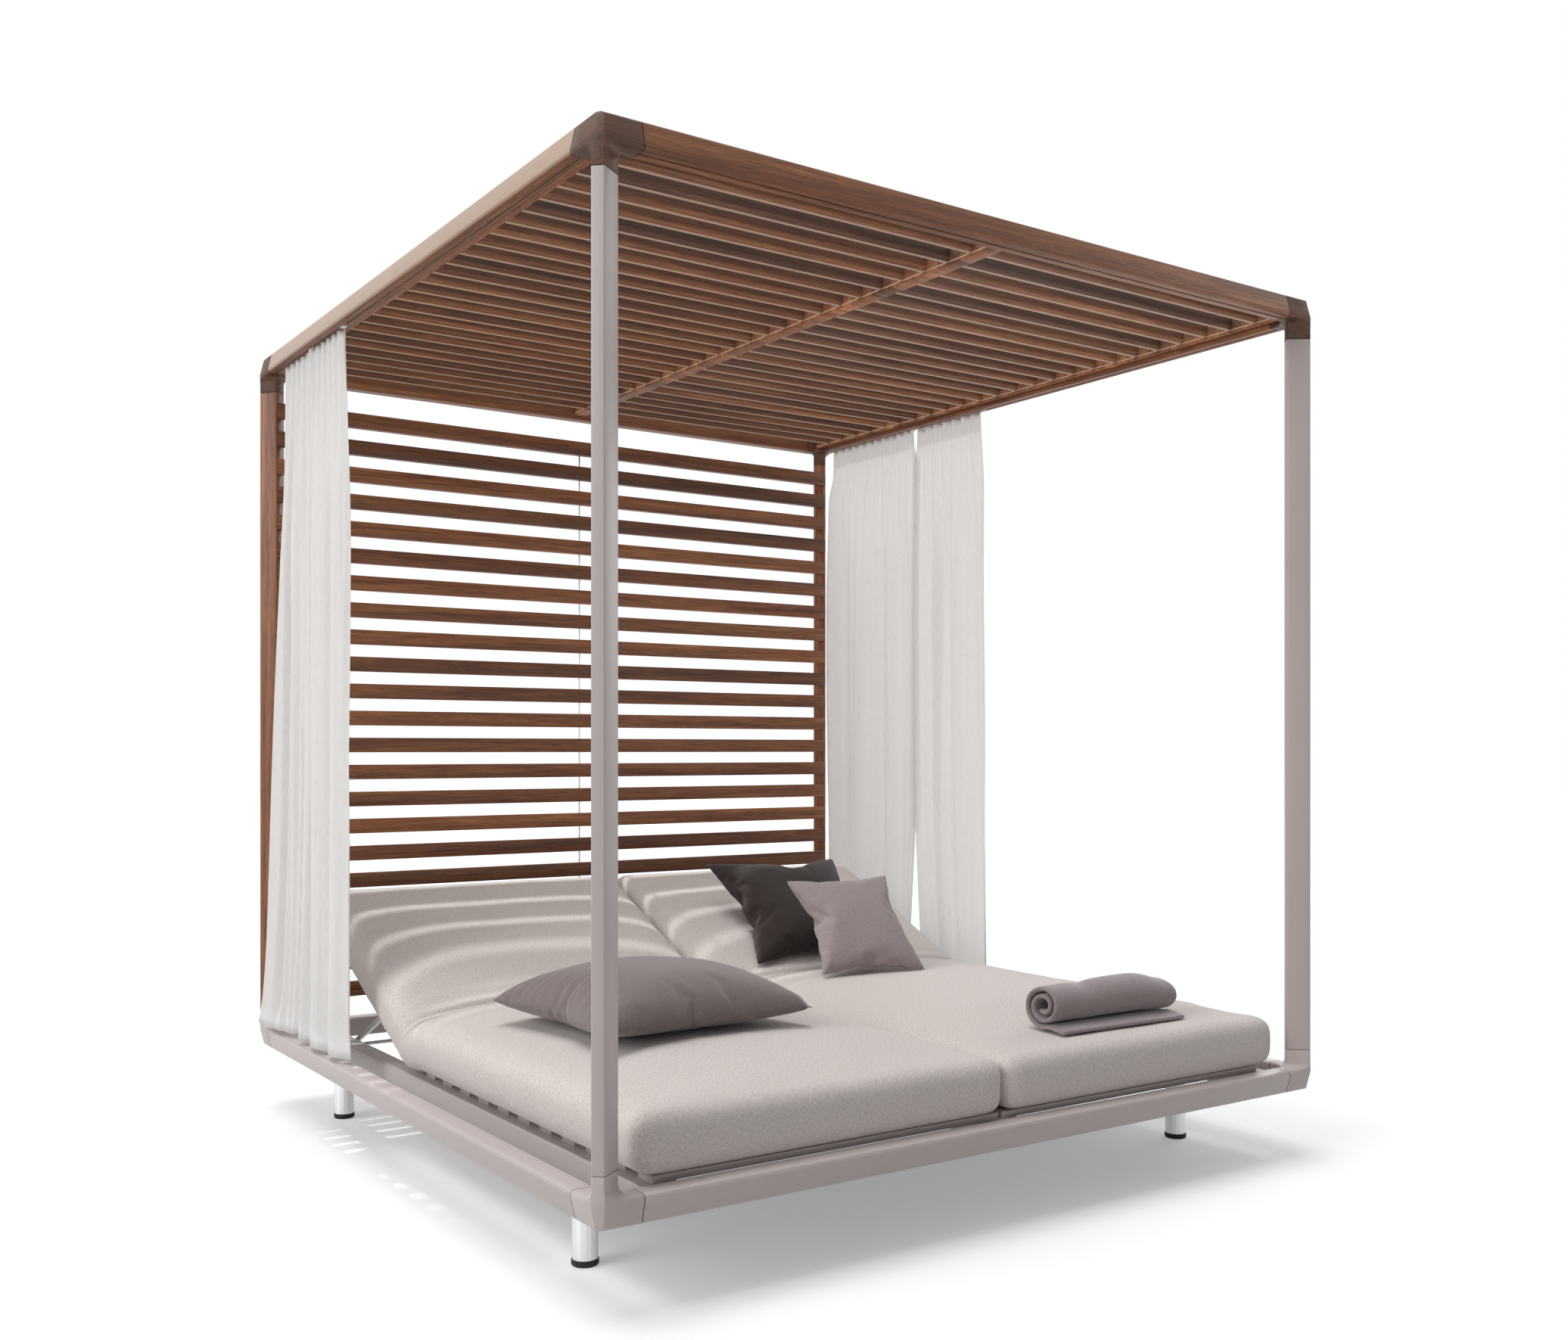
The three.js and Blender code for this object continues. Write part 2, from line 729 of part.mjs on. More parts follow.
// One face of a rail that carries a rack and a hinge boss; out is +1 or -1 along X.
function railFittings(face, out) {
  const rackTop = hinge_z - foot_bar_diameter / 2 - rack_gap;
  const rackFrom = footY(backrest_full) - eye_diameter;
  const rackTo = footY(0) + eye_diameter;
  const sunk = tube_wall / 2;
  const span = (reach) => [face - out * sunk, face + out * reach].sort((a, b) => a - b);
  const [rackLow, rackHigh] = span(rack_width);
  const strip = rectangle(rackFrom, base_z + rack_base, rackTo, rackTop);
  let rack = alongX(softOutline(strip), rackLow, rackHigh);
  for (let click = 0; click < click_count; click += 1) {
    const y = footY(click * backrest_click);
    const seat = y + foot_bar_diameter / 2;
    const tooth = softOutline([
      [seat - tooth_length * 2, rackTop + rack_gap],
      [seat, rackTop - tooth_depth],
      [seat, rackTop + rack_gap],
    ]);
    rack = rack.subtract(alongX(tooth, rackLow - overrun, rackHigh + overrun));
  }
  const [bossLow, bossHigh] = span(boss_reach);
  const boss = softOutline(rectangle(
    hinge_y - boss_width / 2, base_z + rack_base,
    hinge_y + boss_width / 2, hinge_z + eye_diameter / 2, rail_radius,
  ));
  const hole = circle(hinge_y, hinge_z, pin_diameter + 2 * pin_clearance);
  const blind = face + out * (boss_reach - pin_engagement - fit);
  const [holeLow, holeHigh] = [blind, face + out * (boss_reach + overrun)].sort((a, b) => a - b);
  return rack.add(alongX(boss, bossLow, bossHigh).subtract(alongX(hole, holeLow, holeHigh)));
}

function addRails() {
  const end = half_depth - beam_inner;
  const low = base_z + rail_top - rail_height;
  const high = base_z + rail_top;
  const rail = (centre) => {
    const outer = rectangle(centre - rail_width / 2, low, centre + rail_width / 2, high, rail_radius);
    const tube = alongY(softOutline(outer), -end, end, softOutline(insetCorners(outer, tube_wall)));
    return tube;
  };
  piece('side_rail_left', rail(-rail_centre).add(railFittings(-bay_outer, 1)), 'taupe');
  piece('side_rail_right', rail(rail_centre).add(railFittings(bay_outer, -1)), 'taupe');
  const both = railFittings(bay_inner, 1).add(railFittings(-bay_inner, -1));
  piece('centre_rail', rail(0).add(both), 'taupe');
}

// Legs and foot caps

function addLegs() {
  const top = base_z + rail_top - rail_height - seam;
  const outer = leg_diameter / 2;
  const inner = outer - leg_wall;
  const flange = leg_flange_diameter / 2 + leg_wall;
  const legBottom = cap_height + seam;
  const tube = [
    [inner, legBottom], [outer, legBottom], [outer, top], [flange - leg_wall - inner / 2, top],
    [flange - leg_wall - inner / 2, top - leg_flange_thickness], [inner, top - leg_flange_thickness],
  ].map(([radius, z]) => new THREE.Vector2(radius, z));
  tube.push(tube[0].clone());
  const capOuter = outer + cap_lip;
  const plugOuter = inner - fit;
  const cap = [
    [0, 0], [capOuter - cap_radius, 0], [capOuter, cap_radius], [capOuter, cap_height],
    [plugOuter, cap_height], [plugOuter, cap_height + cap_plug], [0, cap_height + cap_plug],
  ].map(([radius, z]) => new THREE.Vector2(radius, z));
  Object.keys(corner_turns).forEach((name) => {
    const x = (name.endsWith('right') ? 1 : -1) * rail_centre;
    const y = (name.startsWith('rear') ? 1 : -1) * (half_depth - leg_inset);
    piece(`leg_${name}`, revolve(tube, x, y, 0), 'silver');
    piece(`foot_cap_${name}`, revolve(cap, x, y, 0), 'black');
  });
}

// Seat deck slats, laid across the rails

function deckSlat(middleX, y, z) {
  const half = bay_half + deck_overlap;
  const outline = rectangle(y - deck_slat_width / 2, z, y + deck_slat_width / 2, z + deck_thickness);
  return alongX(softOutline(outline), middleX - half, middleX + half);
}

function addSeatDecks() {
  const first = -half_depth + beam_inner + deck_front_gap + deck_slat_width / 2;
  const last = hinge_y - backrest_slat_start - deck_slat_width / 2;
  const pitch = (last - first) / (seat_slat_count - 1);
  Object.entries({ left: -1, right: 1 }).forEach(([name, side]) => {
    const slats = [];
    for (let index = 0; index < seat_slat_count; index += 1) {
      slats.push(deckSlat(side * bay_centre, first + index * pitch, base_z + deck_bottom));
    }
    const top = base_z + deck_bottom + join_depth;
    [-1, 1].forEach((hand) => {
      const middle = side * bay_centre + hand * (bay_half - stringer_inset);
      const half = stringer_width / 2;
      const outline = rectangle(middle - half, top - stringer_height, middle + half, top);
      slats.push(alongY(softOutline(outline), first - half, last + half));
    });
    piece(`seat_deck_${name}`, joined(slats), 'taupe');
  });
}

// Backrests, drawn lying flat about the hinge axis and turned up to the rest angle

function backrestGroup() {
  const group = new THREE.Group();
  group.position.set(0, hinge_y, hinge_z);
  group.rotation.x = backrest_rest_angle;
  daybed.add(group);
  return group;
}

// A lug that hangs from a side member down to the pivot line, with a pin or a hole in it.
function lug(faceX, out, y) {
  const back = faceX - out * lug_thickness;
  const [low, high] = [faceX, back].sort((a, b) => a - b);
  const half = eye_diameter / 2;
  const outline = softOutline([
    [y - half, -half, eye_radius], [y + half, -half, eye_radius],
    [y + half, member_rise + member_height / 2], [y - half, member_rise + member_height / 2],
  ]);
  return alongX(outline, low, high);
}

function backrestFrame(side) {
  const middle = side * bay_centre;
  const half = bay_half - rack_width - stay_thickness - 2 * side_play;
  const start = -eye_diameter / 2;
  const low = member_rise;
  const high = member_rise + member_height;
  const parts = [-1, 1].map((hand) => {
    const face = middle + hand * half;
    const [from, to] = [face, face - hand * member_width].sort((a, b) => a - b);
    const outer = rectangle(from, low, to, high);
    const tube = alongY(softOutline(outer), start, backrest_frame_length, softOutline(insetCorners(outer, member_wall)));
    const bossFace = middle + hand * (bay_half - boss_reach);
    const pinEnd = bossFace + hand * pin_engagement;
    const [pinFrom, pinTo] = [face - hand * lug_thickness / 2, pinEnd].sort((a, b) => a - b);
    const hole = cylinderX(stay_length, 0, pin_diameter + 2 * pin_clearance, from - overrun, to + overrun);
    return tube
      .add(lug(face, hand, 0))
      .add(lug(face, hand, stay_length).subtract(hole))
      .add(cylinderX(0, 0, pin_diameter, pinFrom, pinTo));
  });
  const bores = [];
  const crossFrom = middle - half + member_width - member_wall / 2;
  const crossTo = middle + half - member_width + member_wall / 2;
  const crossings = [start + member_height, backrest_frame_length - member_height];
  crossings.forEach((y) => {
    const outer = rectangle(y - member_height / 2, low, y + member_height / 2, high);
    parts.push(alongX(softOutline(outer), crossFrom, crossTo));
    bores.push(alongX(softOutline(insetCorners(outer, member_wall)), crossFrom - member_wall, crossTo + member_wall));
  });
  const slatBottom = base_z + deck_bottom - hinge_z;
  const slatPitch = (backrest_frame_length - backrest_slat_start - deck_slat_width) / (backrest_slat_count - 1);
  for (let index = 0; index < backrest_slat_count; index += 1) {
    const y = backrest_slat_start + deck_slat_width / 2 + index * slatPitch;
    parts.push(deckSlat(middle, y, slatBottom));
    [-1, 1].forEach((hand) => {
      const face = middle + hand * half;
      const [from, to] = [face, face - hand * member_width].sort((a, b) => a - b);
      const packer = rectangle(y - member_width / 2, high - member_wall / 2, y + member_width / 2, slatBottom + join_depth);
      parts.push(alongX(softOutline(packer), from + member_wall, to - member_wall));
    });
  }
  return joined(parts).subtract(joined(bores));
}

// A stay: two flat arms with eyes at the pivot and a bar across their feet.
function stay(side) {
  const middle = side * bay_centre;
  const armOuter = bay_half - rack_width - side_play;
  const arms = [-1, 1].map((hand) => {
    const outerFace = middle + hand * armOuter;
    const innerFace = outerFace - hand * stay_thickness;
    const [from, to] = [outerFace, innerFace].sort((a, b) => a - b);
    const bar = softOutline(rectangle(0, -stay_height / 2, stay_length, stay_height / 2));
    const pinEnd = innerFace - hand * (side_play + lug_thickness);
    const [pinFrom, pinTo] = [outerFace, pinEnd].sort((a, b) => a - b);
    return alongX(bar, from, to)
      .add(alongX(circle(0, 0, eye_diameter), from, to))
      .add(alongX(circle(stay_length, 0, eye_diameter * 0.8), from, to))
      .add(cylinderX(0, 0, pin_diameter, pinFrom, pinTo));
  });
  const reach = bay_half - side_play / 2;
  return joined(arms).add(cylinderX(stay_length, 0, foot_bar_diameter, middle - reach, middle + reach));
}

function addBackrests() {
  Object.entries({ left: -1, right: 1 }).forEach(([name, side]) => {
    const group = backrestGroup();
    piece(`backrest_frame_${name}`, backrestFrame(side), 'taupe', group);
    const pivot = new THREE.Group();
    pivot.position.set(0, stay_length, 0);
    pivot.rotation.x = -2 * backrest_rest_angle;
    group.add(pivot);
    piece(`backrest_stay_${name}`, stay(side), 'steel', pivot);
  });
}

// Mattresses: one crowned form cut at the fold into a seat, a back and the soft fold between

function mattressForm(middleX, baseZ) {
  const half = mattress_width / 2;
  const low = baseZ + mattress_lift;
  const crown_steps = 6;
  const ring = (y, heightShare, crownShare) => {
    const height = mattress_side_height * heightShare;
    const radius = Math.min(mattress_edge_radius, height / 2);
    const corners = [[half, low, mattress_bottom_radius], [half, low + height, radius]];
    for (let step = 1; step < crown_steps; step += 1) {
      const share = 1 - (2 * step) / crown_steps;
      const rise = mattress_crown * crownShare * (1 - share * share);
      corners.push([half * share, low + height + rise]);
    }
    corners.push([-half, low + height, radius], [-half, low, mattress_bottom_radius]);
    return ringAtY(softOutline(corners.map(([x, z, soft]) => [middleX + x, z, soft])), y);
  };
  const front = mattress_front - half_depth;
  const rear = half_depth - mattress_rear_inset;
  const rings = mattress_end_shares.map(({ run, side, crown }) => (
    ring(front + run * mattress_end_run, side, crown)
  ));
  mattress_end_shares.slice().reverse().forEach(({ run, side, crown }) => {
    rings.push(ring(rear - run * mattress_end_run, side, crown));
  });
  return loft(rings);
}

// A wedge about the hinge axis, from one angle to another, measured from straight up to the rear.
function foldWedge(fromAngle, toAngle) {
  const reach = frame_depth;
  const arm = (angle) => [hinge_y + reach * Math.sin(angle), hinge_z + reach * Math.cos(angle)];
  return alongX(softOutline([[hinge_y, hinge_z], arm(toAngle), arm(fromAngle)]), -half_width, half_width);
}

function addMattresses() {
  const half = backrest_full / 2 + fold_clearance;
  const low = base_z + deck_top;
  const height = low + mattress_side_height;
  Object.entries({ left: -1, right: 1 }).forEach(([name, side]) => {
    const middle = side * bed_offset;
    const form = mattressForm(middle, low);
    const rearHalf = alongX(softOutline([
      [hinge_y, hinge_z - beam_height], [half_depth, hinge_z - beam_height],
      [half_depth, hinge_z + frame_height], [hinge_y, hinge_z + frame_height],
    ]), -half_width, half_width);
    const seat = form.subtract(rearHalf).subtract(foldWedge(-half, 0));
    piece(`mattress_seat_${name}`, seat, 'mattress');
    const back = form.intersect(rearHalf).subtract(foldWedge(0, half));
    const holder = backrestGroup();
    piece(`mattress_back_${name}`, back, 'mattress', holder, { y: -hinge_y, z: -hinge_z });
    const inset = mattress_width / 2 - fold_side_inset;
    const seatEdge = (z) => [hinge_y - (z - hinge_z) * Math.tan(half) + fold_gap, z];
    const open = half - backrest_rest_angle;
    const backEdge = (run) => [hinge_y + run * Math.sin(open) - fold_gap, hinge_z + run * Math.cos(open)];
    const backTop = (height - hinge_z) / Math.cos(half);
    const fold = softOutline([
      seatEdge(low + fold_dip), backEdge((low + fold_dip - hinge_z) / Math.cos(half)),
      backEdge(backTop - fold_dip), seatEdge(height - fold_dip),
    ]);
    piece(`mattress_fold_${name}`, alongX(fold, middle - inset, middle + inset), 'mattress');
  });
}

// What lies on the mattresses

// A square cushion, thickest in the middle, with its corners drawn out and its sides drawn in.
function cushion({ width, length, above, below, hand, offset_share, ahead = 0, behind = 0, rise, lean, turn }) {
  const steps = pillow_steps;
  const swell = (u, v) => ((1 - u ** 4) * (1 - v ** 4)) ** pillow_swell;
  const point = (column, row, height) => {
    const u = (2 * column) / steps - 1;
    const v = (2 * row) / steps - 1;
    const across = (width / 2) * u * (1 - pillow_waist_share * (1 - v * v));
    const along = (length / 2) * v * (1 - pillow_waist_share * (1 - u * u));
    return new THREE.Vector3(across, along, height * swell(u, v));
  };
  const faces = [];
  for (let column = 0; column < steps; column += 1) {
    for (let row = 0; row < steps; row += 1) {
      const quad = (height) => [
        point(column, row, height), point(column + 1, row, height),
        point(column + 1, row + 1, height), point(column, row + 1, height),
      ];
      const [a, b, c, d] = quad(above);
      const [e, f, g, h] = quad(-below);
      faces.push(a, b, c, a, c, d, e, g, f, e, h, g);
    }
  }
  const geometry = new THREE.BufferGeometry().setFromPoints(faces);
  const leaning = new THREE.Matrix4().makeRotationX(THREE.MathUtils.degToRad(lean));
  const turning = new THREE.Matrix4().makeRotationZ(THREE.MathUtils.degToRad(turn));
  const x = hand * bed_offset * offset_share;
  const y = hinge_y - ahead + behind;
  geometry.applyMatrix4(turning.multiply(leaning).setPosition(x, y, mattress_top + rise));
  return solidOf(geometry);
}

// A rolled throw with its loose end lying forward over the front of the mattress.
function rolledThrow() {
  const throw_y = throw_from_front - half_depth;
  const throw_z = mattress_top + throw_rise;
  const roll = circle(0, 0, throw_width, round_steps).map((point) => (
    new THREE.Vector2(throw_y + point.x, throw_z + (point.y * throw_height) / throw_width)
  ));
  const under = throw_z - throw_height / 2;
  const tongue = softOutline([
    [throw_y, under + join_depth], [throw_y, under + throw_ply + join_depth],
    [throw_y - throw_width, under - throw_sag + throw_ply], [throw_y - throw_width, under - throw_sag],
  ]);
  const from = bed_offset * throw_offset_share - throw_length / 2;
  return alongX(roll, from, from + throw_length).add(alongX(tongue, from, from + throw_length));
}

function addSoftGoods() {
  piece('pillow_lying', cushion(lying_pillow), 'satin');
  piece('pillow_dark', cushion(dark_pillow), 'dark');
  piece('pillow_pale', cushion(pale_pillow), 'pale');
  piece('throw_roll', rolledThrow(), 'throw');
}

// Curtains, gathered towards the rear, and the runners that draw them along the tracks

// A pleated panel between two distances from the rear face, wider at its hem.
function curtainPanel(side, front, rear, folds, leads) {
  const steps = folds * wave_steps;
  const ring = (z, spread, wave) => {
    const from = front + (leads ? spread : 0);
    const to = Math.max(rear - (leads ? 0 : spread), corner_reach + curtain_gap);
    const face = [];
    const back = [];
    for (let step = 0; step <= steps; step += 1) {
      const share = step / steps;
      const y = half_depth - from - (to - from) * share;
      const x = half_width - curtain_offset + wave * Math.sin(2 * Math.PI * folds * share);
      face.push(new THREE.Vector3(x + curtain_ply / 2, y, z));
      back.push(new THREE.Vector3(x - curtain_ply / 2, y, z));
    }
    return face.concat(back.reverse());
  };
  const top = top_z - beam_height - curtain_top_gap;
  const hem = base_z + curtain_hem;
  const rings = [
    ring(hem, curtain_flare, curtain_wave),
    ring((hem + top) / 2, curtain_flare / 2, curtain_wave),
    ring(top, 0, curtain_wave * top_wave_share),
  ];
  const panel = loft(rings);
  return side > 0 ? panel : panel.mirror([1, 0, 0]);
}

// A runner: a block in the track, a stem through its slot and a plate over the panel's edge.
function runner(side, fromRear) {
  const middle = side * (half_width - track_offset);
  const underside = top_z - beam_height;
  const half = track_width / 2 - track_wall - runner_play;
  const low = track_z + track_wall + runner_play;
  const high = track_z + track_height - track_wall - runner_play;
  const from = half_depth - fromRear - runner_length / 2;
  const to = from + runner_length;
  const block = alongY(softOutline(rectangle(middle - half, low, middle + half, high)), from, to);
  const stem = rectangle(middle - runner_stem / 2, underside - curtain_top_gap / 2, middle + runner_stem / 2, high - join_depth);
  const plate = rectangle(middle - half, underside - curtain_top_gap + seam, middle + half, underside - runner_play);
  return block.add(alongY(softOutline(stem), from, to)).add(alongY(softOutline(plate), from, to));
}

function addCurtains() {
  const sets = { left: [-1, curtain_left], right: [1, curtain_right] };
  Object.entries(sets).forEach(([name, [side, { rear, middle, front, folds }]]) => {
    const gap = curtain_gap / 2;
    piece(`curtain_${name}_rear`, curtainPanel(side, middle - gap, rear, folds, false), 'curtain');
    piece(`curtain_${name}_front`, curtainPanel(side, front, middle + gap, folds, true), 'curtain');
    piece(`curtain_runner_${name}_middle`, runner(side, middle), 'nylon');
    piece(`curtain_runner_${name}_front`, runner(side, front - runner_length / 2), 'nylon');
  });
}

addCorners();
addPosts();
addBaseBeams();
addRoofBeams();
addTracks();
addLouvres();
addRearWall();
addRails();
addLegs();
addSeatDecks();
addBackrests();
addMattresses();
addSoftGoods();
addCurtains();

export default daybed;
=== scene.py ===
# %% [markdown]
# # An outdoor daybed with a canopy
#
# The solid model gives the frame, its members and every moving body. This script keeps
# those solids where they are, gives them their finishes, and makes the soft goods anew:
# mattresses, pillows, a rolled throw and four curtain panels.

# %% Load the solid model as the frame
import math
import bmesh
import bpy
from mathutils import Matrix, Vector, noise


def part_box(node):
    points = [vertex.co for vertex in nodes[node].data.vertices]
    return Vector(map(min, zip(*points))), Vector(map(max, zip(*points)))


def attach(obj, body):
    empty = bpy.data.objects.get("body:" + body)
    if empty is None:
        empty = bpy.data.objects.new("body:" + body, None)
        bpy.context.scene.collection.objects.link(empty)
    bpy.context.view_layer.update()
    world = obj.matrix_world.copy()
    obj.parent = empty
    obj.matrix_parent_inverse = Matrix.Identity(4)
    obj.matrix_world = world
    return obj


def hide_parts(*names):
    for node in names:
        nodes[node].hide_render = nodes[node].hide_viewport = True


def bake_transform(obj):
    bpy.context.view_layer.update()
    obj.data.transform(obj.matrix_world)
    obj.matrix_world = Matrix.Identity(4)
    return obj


# Vector noise is shifted by a seed that is the clock's unless one is set.
noise.seed_set(3)
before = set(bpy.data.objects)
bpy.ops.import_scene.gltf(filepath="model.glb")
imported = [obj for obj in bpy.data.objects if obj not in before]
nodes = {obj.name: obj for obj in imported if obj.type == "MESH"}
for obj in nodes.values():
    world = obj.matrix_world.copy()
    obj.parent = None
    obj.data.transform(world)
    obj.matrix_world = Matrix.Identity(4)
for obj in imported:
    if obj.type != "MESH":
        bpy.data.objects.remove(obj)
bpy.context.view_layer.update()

# %% [markdown]
# The camera comes first, because every later choice is judged through it. Its place was
# found from the straight edges of the frame. The view is level, and the picture is moved
# up with the lens shift, as an architect's camera does, so upright posts stay upright.

# %% The camera
def new_object(name, data):
    thing = bpy.data.objects.new(name, data)
    bpy.context.scene.collection.objects.link(thing)
    return thing


IMAGE_WIDTH = 2072
FOCAL_PIXELS = 1994.4
HORIZON_BELOW_CENTRE = 105.5
CAMERA_PLACE = (-2.2163, -3.3787, 1.009)
CAMERA_YAW = math.radians(-34.596)

camera_data = bpy.data.cameras.new("camera")
camera_data.sensor_width = 36
camera_data.lens = camera_data.sensor_width * FOCAL_PIXELS / IMAGE_WIDTH
camera_data.shift_y = HORIZON_BELOW_CENTRE / IMAGE_WIDTH
camera = new_object("camera", camera_data)
camera.location = CAMERA_PLACE
camera.rotation_euler = (math.radians(90), 0, CAMERA_YAW)
bpy.context.scene.camera = camera
print("lens:", round(camera_data.lens, 2), "mm, shift:", round(camera_data.shift_y, 4))

# %% [markdown]
# Every finish is a tree of nodes. These short functions add a node with its settings,
# its links and its values in one call, so that a finish reads from top to bottom.

# %% Small helpers for materials
def linear(code):
    """An sRGB hex colour as linear numbers with an alpha of 1."""
    def channel(value):
        return value / 12.92 if value <= 0.04045 else ((value + 0.055) / 1.055) ** 2.4
    shares = [int(code[i:i + 2], 16) / 255 for i in (1, 3, 5)]
    return tuple(channel(share) for share in shares) + (1.0,)


def first_output(source):
    """A socket as it is, or the first output of a node."""
    return getattr(source, "outputs", [source])[0]


def add_node(tree, kind, settings=None, links=None, values=None):
    """Adds one node: attributes, links from nodes or sockets, and input values."""
    node = tree.nodes.new(kind)
    for key, value in (settings or {}).items():
        setattr(node, key, value)
    for key, value in (values or {}).items():
        node.inputs[key].default_value = value
    for key, source in (links or {}).items():
        tree.links.new(first_output(source), node.inputs[key])
    return node


def maths(tree, operation, *inputs, kind="ShaderNodeMath"):
    """A math node. Each input is a value, a node or a socket."""
    node = add_node(tree, kind, {"operation": operation})
    for place, value in enumerate(inputs):
        if isinstance(value, (int, float, tuple)):
            node.inputs[place].default_value = value
        else:
            tree.links.new(first_output(value), node.inputs[place])
    return node


def vectors(tree, operation, *inputs):
    return maths(tree, operation, *inputs, kind="ShaderNodeVectorMath")


def scaled(tree, value, by):
    node = vectors(tree, "SCALE", value)
    node.inputs["Scale"].default_value = by
    return node


def tinted(tree, share, first, code):
    """Mixes a colour with a hex colour, as far as the share says."""
    return add_node(tree, "ShaderNodeMix", {"data_type": "RGBA"}, {
        0: share, 6: first}, {7: linear(code)})


def noise_at(tree, place, size, detail, **more):
    """Noise whose largest blots are about that size."""
    return add_node(tree, "ShaderNodeTexNoise", None, {"Vector": place}, {
        "Scale": 1 / size, "Detail": detail, **more})


def stretched(tree, place, scale):
    return add_node(tree, "ShaderNodeMapping", None, {"Vector": place}, {"Scale": scale})


def ranged(tree, value, low, high, start=0.0, end=1.0, smooth=False):
    """Runs from low to high while the value runs from start to end."""
    kind = "SMOOTHSTEP" if smooth else "LINEAR"
    return add_node(tree, "ShaderNodeMapRange", {"interpolation_type": kind}, {"Value": value}, {
        "From Min": start, "From Max": end, "To Min": low, "To Max": high})


def bump_of(tree, height, strength, depth):
    return add_node(tree, "ShaderNodeBump", None, {"Height": height}, {
        "Strength": strength, "Distance": depth})


def feed(tree, shader, links, values):
    """Links nodes into the shader's inputs and sets constants on its other ones."""
    for key, source in links.items():
        tree.links.new(first_output(source), shader.inputs[key])
    for key, value in values.items():
        shader.inputs[key].default_value = value


def direct_rays(tree):
    """1 for camera, mirrored and see-through rays, and 0 for light that has bounced."""
    rays = add_node(tree, "ShaderNodeLightPath")
    straight = maths(tree, "MAXIMUM", rays.outputs["Is Camera Ray"], rays.outputs["Is Glossy Ray"])
    return maths(tree, "MAXIMUM", straight, rays.outputs["Is Transmission Ray"])


def ramp_colours(tree, value, stops):
    """A colour ramp over the value, from (position, hex colour) stops."""
    node = add_node(tree, "ShaderNodeValToRGB", None, {"Fac": value})
    elements = node.color_ramp.elements
    while len(elements) < len(stops):
        elements.new(0.5)
    for element, (position, code) in zip(elements, stops):
        element.position = position
        element.color = linear(code)
    return node


def new_material(name):
    material = bpy.data.materials.new(name)
    material.use_nodes = True
    tree = material.node_tree
    shader = tree.nodes["Principled BSDF"]
    return material, tree, shader


print("half grey, linear:", [round(part, 3) for part in linear("#808080")])

# %% [markdown]
# The real picture is a studio shot on white ground. A white room gives even light from
# all sides, and camera rays see it as pure white. Over it come a broad lamp above, one
# at each side, and a narrow one behind the rear wall, whose light falls between the
# slats and draws soft bands on the backrests. The level of each was set until a plain
# grey card renders about as it is written.

# %% World and lamps
world = bpy.data.worlds.new("white_room")
bpy.context.scene.world = world
world.use_nodes = True
room = world.node_tree
room.nodes.clear()
ROOM_LEVEL = 0.24
strength = ranged(room, direct_rays(room), ROOM_LEVEL, 1.0)
light = add_node(room, "ShaderNodeBackground", None, {"Strength": strength}, {
    "Color": (1.0, 1.0, 1.0, 1.0)})
add_node(room, "ShaderNodeOutputWorld", None, {"Surface": light})


def lamp(name, kind, energy, place, aim, size):
    """A lamp that points at aim. Size is a sun's angle or a spot's cone, in degrees."""
    data = bpy.data.lights.new(name, kind)
    data.energy = energy
    if kind == "SUN":
        data.angle = math.radians(size)
    else:
        data.spot_size = math.radians(size)
        data.spot_blend = 0.6
        data.shadow_soft_size = 0.05
    thing = new_object(name, data)
    thing.location = place
    toward = Vector(aim) - Vector(place)
    thing.rotation_euler = toward.to_track_quat("-Z", "Y").to_euler()
    return thing


BED_MIDDLE = (0.0, 0.0, 0.5)
lamp("sky_above", "SUN", 2.2, (-0.8, 0.7, 6.0), BED_MIDDLE, 40)
lamp("window_left", "SUN", 1.35, (-5.0, 0.0, 3.0), BED_MIDDLE, 34)
lamp("window_right", "SUN", 0.7, (4.5, 1.6, 2.4), BED_MIDDLE, 40)
through_wall = lamp("low_sun_behind", "SPOT", 1000.0, (-0.4, 3.7, 4.0), (-0.1, 0.72, 0.5), 30)
through_wall.scale = (1.0, 0.4, 1.0)

# %% [markdown]
# The ground is a large pale sheet. Real seamless paper is lit until it is white, so this
# one is white and glows a little for direct, mirrored and see-through rays, keeps the
# shadow of the bed, and throws the light of a greyer paper back at it.

# %% The floor
FLOOR_HALF = 30.0
paper, tree, shader = new_material("seamless_paper")
direct = direct_rays(tree)
page = add_node(tree, "ShaderNodeMix", {"data_type": "RGBA"}, {
    0: direct}, {6: linear("#C8C7C6"), 7: linear("#FFFFFF")})
feed(tree, shader, {"Base Color": page.outputs[2]}, {
    "Roughness": 0.95, "Specular IOR Level": 0.0})
PAPER_GLOW, PAPER_SHARE = 1.0, 0.3
shine = add_node(tree, "ShaderNodeEmission", None, {}, {"Strength": PAPER_GLOW})
seen_share = maths(tree, "MULTIPLY", direct, PAPER_SHARE)
both = add_node(tree, "ShaderNodeMixShader", None, {
    0: seen_share, 1: shader, 2: shine})
tree.links.new(both.outputs[0], tree.nodes["Material Output"].inputs["Surface"])


def object_from(name, bm, material):
    """Turns a bmesh into a smooth-shaded object at the origin."""
    mesh = bpy.data.meshes.new(name)
    bm.to_mesh(mesh)
    bm.free()
    for polygon in mesh.polygons:
        polygon.use_smooth = True
    mesh.materials.append(material)
    return new_object(name, mesh)


sheet_of_paper = bmesh.new()
bmesh.ops.create_grid(sheet_of_paper, x_segments=2, y_segments=2, size=FLOOR_HALF)
floor = object_from("floor", sheet_of_paper, paper)
print("floor:", 2 * FLOOR_HALF, "m square")

